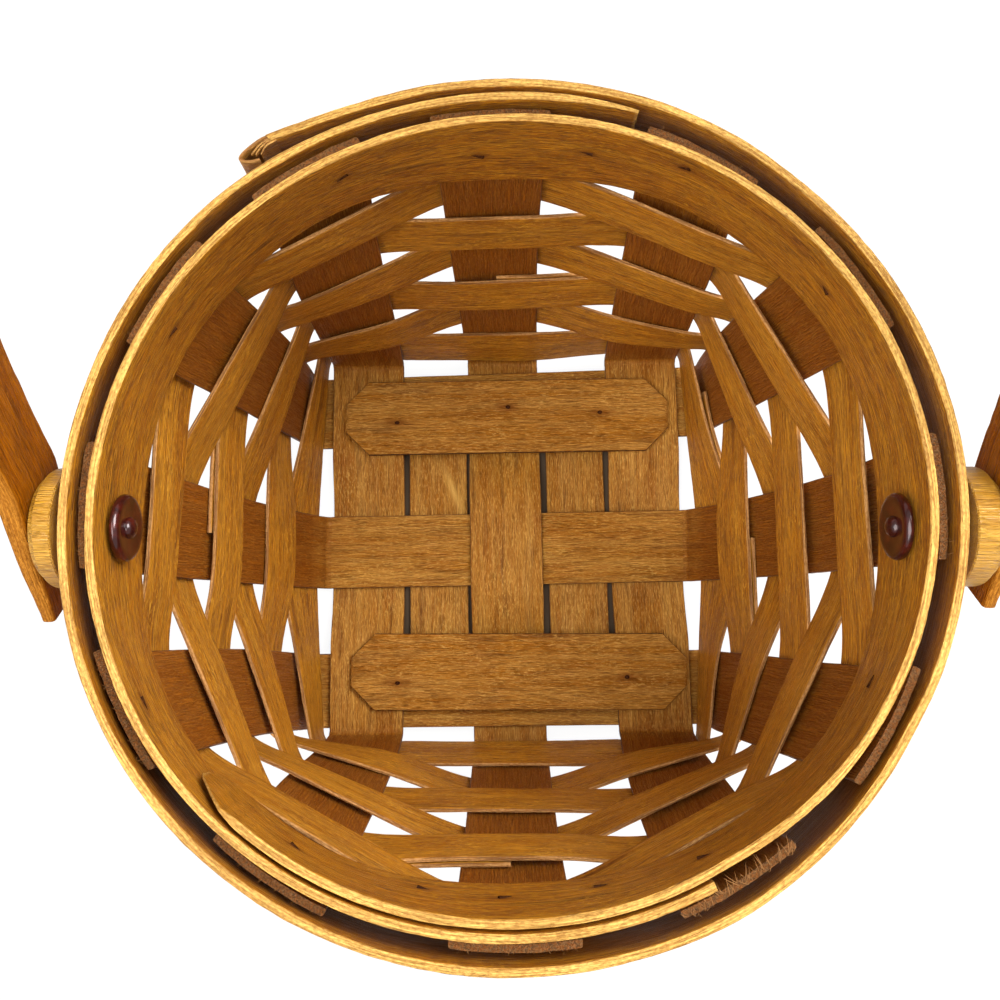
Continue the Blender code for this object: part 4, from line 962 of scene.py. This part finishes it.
# Rusted iron: dark, dull and brown all over.
iron, tree, shader = new_material("rusted iron tack")
place = add(tree, "ShaderNodeTexCoord").outputs["Object"]
rust = add(tree, "ShaderNodeTexNoise", {"Vector": place, "Scale": 2200.0, "Detail": 3.0}).outputs[0]
rust = add(tree, "ShaderNodeMapRange", {0: rust, 1: 0.4, 2: 0.62}).outputs[0]
colour = add(tree, "ShaderNodeMix", {0: rust, 6: linear("2C1408"), 7: linear("46260E")}, data_type="RGBA")
tree.links.new(colour.outputs[2], shader.inputs["Base Color"])
shader.inputs["Specular IOR Level"].default_value = 0.05
shader.inputs["Roughness"].default_value = 0.6

tree, given = new_tree("tacks", TACK_SIZES)
head = add(tree, "GeometryNodeMeshCone",
           {"Vertices": 14, "Radius Top": given["Head Crown"], "Radius Bottom": given["Head Radius"],
            "Depth": given["Head Height"]}).outputs[0]
point = add(tree, "GeometryNodeMeshCone",
            {"Vertices": 8, "Side Segments": 4, "Radius Top": given["Point Tip"],
             "Radius Bottom": given["Point Width"], "Depth": given["Point Length"]}).outputs[0]
laid = add(tree, "GeometryNodeTransform",
           {"Geometry": point, "Rotation": (0.0, pi / 2, 0.0), "Translation": POINT_PLACE}).outputs[0]
ball = add(tree, "GeometryNodeMeshUVSphere",
           {"Segments": 10, "Rings": 6, "Radius": given["Sunk Radius"]}).outputs[0]
sunk = add(tree, "GeometryNodeTransform", {"Geometry": ball, "Scale": SUNK_SHARES}).outputs[0]
shapes = add(tree, "GeometryNodeGeometryToInstance")
for shape in (sunk, laid, head):
    tree.links.new(shape, shapes.inputs[0])
kind = add(tree, "GeometryNodeInputNamedAttribute", {"Name": "kind"}, data_type="INT").outputs[0]
turn = add(tree, "GeometryNodeInputNamedAttribute", {"Name": "turn"}, data_type="FLOAT_VECTOR").outputs[0]
placed = add(tree, "GeometryNodeInstanceOnPoints",
             {"Points": given["Geometry"], "Instance": shapes.outputs[0], "Pick Instance": True,
              "Instance Index": kind, "Rotation": turn}).outputs[0]
finish_tree(tree, placed, iron)


def nail(name, spots):
    """Tack shapes at their spots, each with what kind it is and how it is turned, as one piece."""
    mesh = bpy.data.meshes.new(name)
    mesh.from_pydata([spot for spot, _, _ in spots], [], [])
    store(mesh, "kind", "INT", [TACK_SHAPES.index(kind) for _, kind, _ in spots])
    store(mesh, "turn", "FLOAT_VECTOR", [turn for _, _, turn in spots])
    tacks = grow(f"{name}s_dressed", tree, mesh, TACK_SIZES)
    dress(tacks, iron, "tack_iron", *[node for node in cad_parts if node.startswith(name)])


def facing_turn(angle, side, roll=0.0):
    """Euler angles that turn local Z out of or into the rim at an angle, and local X along it."""
    outward = Vector((cos(angle), sin(angle), 0)) * side
    onward = Matrix.Rotation(roll, 3, outward) @ Vector((-sin(angle), cos(angle), 0))
    return Matrix((onward, outward.cross(onward), outward)).transposed().to_euler()


spots = [(spot, "head", facing_turn(angle, 1)) for spot, angle in outer_spots]
spots += [(spot, "point", facing_turn(angle, -1, 0.5 * sin(7 * angle))) for spot, angle in inner_spots]
nail("rim_tack", spots)
nail("batten_tack", [(spot + UP * SUNK_RISE, "sunk head", (0.0, 0.0, 0.0)) for spot in batten_tops])


# Spacers, burrs and rivets
# A turned maple disc holds each arm off the rim. A copper rivet passes through all, and is peened
# over a flat bronze burr inside the rim; both have tarnished nearly black.

PIVOT_Y = -0.0032
PIVOT_Z = RIM_TOP - 0.0095
SPACER_RADIUS = 0.0093
SPACER_BEVEL = 0.0011
SPACER_ARRIS = 0.0002
SPACER_LEAN = 0.4 * RIM_LEAN / BAND_HEIGHT
BURR_RADIUS = 0.0053
BURR_SHAPE = [(0.0, 0.98), (0.25, 1.0), (0.55, 0.985), (0.82, 0.945), (0.96, 0.88), (1.0, 0.8),
              (0.97, 0.72), (0.9, 0.6), (0.85, 0.46)]
BURR_MIDDLE = 0.82
RIVET_RADIUS = 0.0012
RIVET_HEAD_RADIUS = 0.0044
RIVET_HEAD_HEIGHT = 0.0016
RIVET_HEAD_EDGE = 0.25
PEEN_RADIUS = 0.0017
PEEN_SEAT = 0.8
PEEN_SHARE = 0.6
BORE = RIVET_RADIUS + 0.0003
ROUND_SIDES = 64


def turned(name, side, profile, closed, lean_columns=()):
    """A piece turned on the pivot's axis from (distance out, radius) points, grained along its axis."""
    verts, faces, grain = [], [], []
    for index, (out, radius) in enumerate(profile):
        for step in range(ROUND_SIDES):
            turn = 2 * pi * step / ROUND_SIDES
            rise = radius * sin(turn)
            reach = out - SPACER_LEAN * rise if index in lean_columns else out
            verts.append((side * reach, PIVOT_Y + radius * cos(turn), PIVOT_Z + rise))
            grain.append((reach + 0.3 * side, rise, radius * cos(turn)))
    rows = len(profile)
    for row in range(rows if closed else rows - 1):
        start, other = row * ROUND_SIDES, (row + 1) % rows * ROUND_SIDES
        for step in range(ROUND_SIDES):
            after = (step + 1) % ROUND_SIDES
            faces.append((start + step, start + after, other + after, other + step))
    if not closed:
        faces.append(tuple(range(ROUND_SIDES)))
        faces.append(tuple(range((rows - 1) * ROUND_SIDES, rows * ROUND_SIDES)))
    mesh = bpy.data.meshes.new(name)
    mesh.from_pydata(verts, [], faces)
    store(mesh, "grain", "FLOAT_VECTOR", grain)
    face_out(mesh, sharp=40)
    return new_object(name, mesh)


# Bronze and copper, tarnished: nearly black with a maroon cast, and still glossy.
bronze, tree, shader = new_material("tarnished bronze")
place = add(tree, "ShaderNodeTexCoord").outputs["Object"]
patina = add(tree, "ShaderNodeTexNoise", {"Vector": place, "Scale": 700.0, "Detail": 4.0}).outputs[0]
share = add(tree, "ShaderNodeMapRange", {0: patina, 1: 0.42, 2: 0.68}).outputs[0]
colour = add(tree, "ShaderNodeMix", {0: share, 6: linear("300C0A"), 7: linear("501810")}, data_type="RGBA")
tree.links.new(colour.outputs[2], shader.inputs["Base Color"])
shader.inputs["Metallic"].default_value = 0.2
shader.inputs["Specular IOR Level"].default_value = 0.6
shader.inputs["Coat Weight"].default_value = 0.3
shader.inputs["Coat Roughness"].default_value = 0.12
rough = add(tree, "ShaderNodeMapRange", {0: patina, 3: 0.26, 4: 0.15}).outputs[0]
tree.links.new(rough, shader.inputs["Roughness"])
bump = add(tree, "ShaderNodeBump", {"Height": patina, "Strength": 0.2, "Distance": 0.0001})
tree.links.new(bump.outputs[0], shader.inputs["Normal"])

# Turned maple, varnished: honey brown and smooth, with faint lines along its axis.
maple = stained_wood("turned maple", "B07B1D 88580F CC9E3C 5C360A D09A4C 90581C", 0.35, 0.35, 0.35, 0.4)

for side, word in ((-1, "left"), (1, "right")):
    outer = 0 if side < 0 else 1
    seat, face = (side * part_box(f"handle_spacer_{word}")[corner][0] for corner in (1 - outer, outer))
    seat += SPACER_LEAN * SPACER_RADIUS
    profile = [(seat, BORE), (seat, SPACER_RADIUS - SPACER_ARRIS), (seat + SPACER_ARRIS, SPACER_RADIUS),
               (face - SPACER_BEVEL - SPACER_ARRIS, SPACER_RADIUS),
               (face - SPACER_BEVEL, SPACER_RADIUS - SPACER_ARRIS / 3)]
    profile += [(face - SPACER_BEVEL * cos(turn), SPACER_RADIUS - SPACER_BEVEL * sin(turn))
                for turn in [radians(angle) for angle in (30, 60)]]
    profile += [(face, SPACER_RADIUS - SPACER_BEVEL), (face, BORE)]
    spacer = turned(f"handle_spacer_{word}_dressed", side, profile, True, (0, 1, 2))
    dress(spacer, maple, "spacer_wood", f"handle_spacer_{word}")

    front, back = (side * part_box(f"rivet_burr_{word}")[corner][0] for corner in (1 - outer, outer))
    depth = back - front
    profile = [(back, BORE)]
    profile += [(back - depth * rise, BURR_RADIUS * share) for rise, share in BURR_SHAPE]
    profile.append((back - depth * BURR_MIDDLE, BORE))
    burr = turned(f"rivet_burr_{word}_dressed", side, profile, True)
    dress(burr, bronze, "rivet_bronze", f"rivet_burr_{word}")

    peen, head = (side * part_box(f"handle_rivet_{word}")[corner][0] for corner in (1 - outer, outer))
    under_peen = back - depth * PEEN_SEAT
    under_head = head - RIVET_HEAD_HEIGHT
    rise = (under_peen - peen) * PEEN_SHARE
    profile = [(under_peen - rise * sin(turn), PEEN_RADIUS * cos(turn))
               for turn in [radians(angle) for angle in (85, 70, 50, 30, 12, 0)]]
    profile += [(under_peen, RIVET_RADIUS), (under_head, RIVET_RADIUS), (under_head, RIVET_HEAD_RADIUS)]
    profile += [(under_head + RIVET_HEAD_HEIGHT * (RIVET_HEAD_EDGE + (1 - RIVET_HEAD_EDGE) * sin(turn)),
                 RIVET_HEAD_RADIUS * cos(turn * 0.95))
                for turn in [radians(angle) for angle in (0, 20, 45, 70, 90)]]
    rivet = turned(f"handle_rivet_{word}_dressed", side, profile, False)
    dress(rivet, bronze, "rivet_bronze", f"handle_rivet_{word}")


# Swing handle
# One strip of ash, sawn, rounded over on its arrises, steamed into a half round arch and riveted so
# that it swings stiffly. It is smoother than the splints and stained a redder brown.

HANDLE_LEAN = radians(52)
HANDLE_WIDTH = 0.0143
HANDLE_THICKNESS = 0.0034
HANDLE_END_THICKNESS = 0.0023
HANDLE_ARRIS = 0.0007
HANDLE_TAILS = {-1: 0.0129, 1: 0.0105}
ARM_LENGTH = 0.045
ARM_FLARES = {-1: 0.0036, 1: 0.0008}
ARM_STEPS = 40
ARCH_STEPS = 120

# Bent ash handle, oil stained and worn by hands: a matt reddish brown with a fine figure.
handle_wood = stained_wood("bent ash handle", "8C4A00 6A3400 A4620A 4A2200 B87828 8A5216",
                           0.5, 0.5, 0.35, 0.05)


def arm_values(side, lift):
    """Inner face's distance out, its slope and the handle's thickness, at a distance up an arm."""
    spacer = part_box(f"handle_spacer_{'left' if side < 0 else 'right'}")
    length = ARM_LENGTH - SPACER_RADIUS
    share = max(lift - SPACER_RADIUS, 0.0) / length
    slope = 2 * ARM_FLARES[side] / length * (1 - share) if share else 0.0
    out = side * spacer[0 if side < 0 else 1][0] + FIT_GAP + ARM_FLARES[side] * share * (2 - share)
    full = smooth(1 + lift / HANDLE_TAILS[side])
    return out, slope, HANDLE_END_THICKNESS + full * (HANDLE_THICKNESS - HANDLE_END_THICKNESS)


def arm_line(side):
    """Points up an arm: the inner face, the outward direction and the thickness."""
    line = []
    for step in range(ARM_STEPS):
        lift = -HANDLE_TAILS[side] + (ARM_LENGTH + HANDLE_TAILS[side]) * step / ARM_STEPS
        out, slope, thickness = arm_values(side, lift)
        line.append((Vector((side * out, 0, lift)), Vector((side, 0, -slope)).normalized(), thickness))
    return line


left, right = (arm_values(side, ARM_LENGTH)[0] for side in (-1, 1))
centre = Vector(((right - left) / 2, 0, ARM_LENGTH))
line = arm_line(-1)
for step in range(ARCH_STEPS + 1):
    turn = pi - pi * step / ARCH_STEPS
    outward = Vector((cos(turn), 0, sin(turn)))
    line.append((centre + outward * (right + left) / 2, outward, HANDLE_THICKNESS))
line += arm_line(1)[::-1]
lean = Matrix.Translation((0, PIVOT_Y, PIVOT_Z)) @ Matrix.Rotation(-HANDLE_LEAN, 4, "X")
stations = []
for inner, outward, thickness in line:
    middle = inner + outward * thickness / 2
    low, high = (lean @ (middle + ALONG_Y * side * HANDLE_WIDTH / 2) for side in (-1, 1))
    normal = lean.to_3x3() @ outward
    stations.append(Station(low, high, normal, normal, 0.0, thickness, 0.0))
piece = build_strip("handle_dressed", stations, 51.0, HANDLE_ARRIS, 12)
dress(piece, handle_wood, "handle_wood", "handle", body="handle")


# Table, light and camera
# The basket stands on white paper, painted dark brown under the base as its shadow there. Two soft lights
# hang over it, one to the right and one to the left and front, and it is seen from straight above.

FLOOR_HALF = 3
PAPER_GLOW = 0.9
SHADE_HALF = 0.036
SHADE_EDGE = 0.002
SKY = 0.65
LIGHT_TARGET = Vector((0, 0, 0.05))
LIGHTS = {"key": ((0.44, 0.26, 0.7), 0.5, 10.8), "fill": ((-0.29, -0.21, 0.79), 0.75, 8.8)}

floor_mesh = bpy.data.meshes.new("floor")
corners = [(-FLOOR_HALF, -FLOOR_HALF, 0), (FLOOR_HALF, -FLOOR_HALF, 0), (FLOOR_HALF, FLOOR_HALF, 0),
           (-FLOOR_HALF, FLOOR_HALF, 0)]
floor_mesh.from_pydata(corners, [], [(0, 1, 2, 3)])
floor = new_object("floor", floor_mesh)

# White paper: matt, and plain white to the camera, but painted dark brown as a shadow under the base.
paper, tree, shader = new_material("white paper")
shader.inputs["Roughness"].default_value = 0.9
rays = add(tree, "ShaderNodeLightPath").outputs
seen = add(tree, "ShaderNodeMath", {0: rays["Is Camera Ray"], 1: rays["Is Glossy Ray"]},
           operation="MAXIMUM").outputs[0]
seen = add(tree, "ShaderNodeMath", {0: seen, 1: rays["Is Transmission Ray"]},
           operation="MAXIMUM").outputs[0]
# Painted shadow: inside a square under the base the paper is dark brown and does not glow.
place = add(tree, "ShaderNodeTexCoord").outputs["Object"]
place = add(tree, "ShaderNodeVectorMath", {0: place}, operation="ABSOLUTE").outputs[0]
place = add(tree, "ShaderNodeSeparateXYZ", {0: place}).outputs
reach = add(tree, "ShaderNodeMath", {0: place["X"], 1: place["Y"]}, operation="MAXIMUM").outputs[0]
lit = add(tree, "ShaderNodeMapRange", {0: reach, 1: SHADE_HALF, 2: SHADE_HALF + SHADE_EDGE}).outputs[0]
share = add(tree, "ShaderNodeMath", {0: seen, 1: PAPER_GLOW}, operation="MULTIPLY").outputs[0]
share = add(tree, "ShaderNodeMath", {0: share, 1: lit}, operation="MULTIPLY").outputs[0]
colour = add(tree, "ShaderNodeMix", {0: lit, 6: linear("4A3A28"), 7: linear("F4F2EE")}, data_type="RGBA")
tree.links.new(colour.outputs[2], shader.inputs["Base Color"])
glow = add(tree, "ShaderNodeEmission", {"Color": (1, 1, 1, 1), "Strength": 1.0})
mix = add(tree, "ShaderNodeMixShader", {0: share, 1: shader.outputs[0], 2: glow.outputs[0]})
tree.links.new(mix.outputs[0], tree.nodes["Material Output"].inputs["Surface"])
floor_mesh.materials.append(paper)
floor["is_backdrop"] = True

world = bpy.data.worlds.new("studio")
bpy.context.scene.world = world
world.use_nodes = True
tree = world.node_tree
sky = tree.nodes["Background"]
rays = add(tree, "ShaderNodeLightPath").outputs
strength = add(tree, "ShaderNodeMapRange", {0: rays["Is Camera Ray"], 3: SKY, 4: 1.0}).outputs[0]
sky.inputs["Color"].default_value = (1, 1, 1, 1)
tree.links.new(strength, sky.inputs["Strength"])

for name, (place, size, power) in LIGHTS.items():
    data = bpy.data.lights.new(name, "AREA")
    data.energy = power
    data.size = size
    lamp = new_object(name, data)
    lamp.location = place
    lamp.rotation_euler = (LIGHT_TARGET - Vector(place)).to_track_quat("-Z", "Y").to_euler()

camera_data = bpy.data.cameras.new("camera")
camera_data.sensor_width = 36
camera_data.lens = 32.4
camera_data.clip_start = 0.01
camera = new_object("camera", camera_data)
camera.location = (-0.001672, -0.0155835, 0.2391428)
camera.rotation_euler = (0.119, 0.0006, -0.0019)
bpy.context.scene.camera = camera
bpy.context.scene.view_settings.view_transform = "Standard"

sizes = {"cad": [list(corner) for corner in cad_box], "visual": [list(corner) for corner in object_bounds()]}
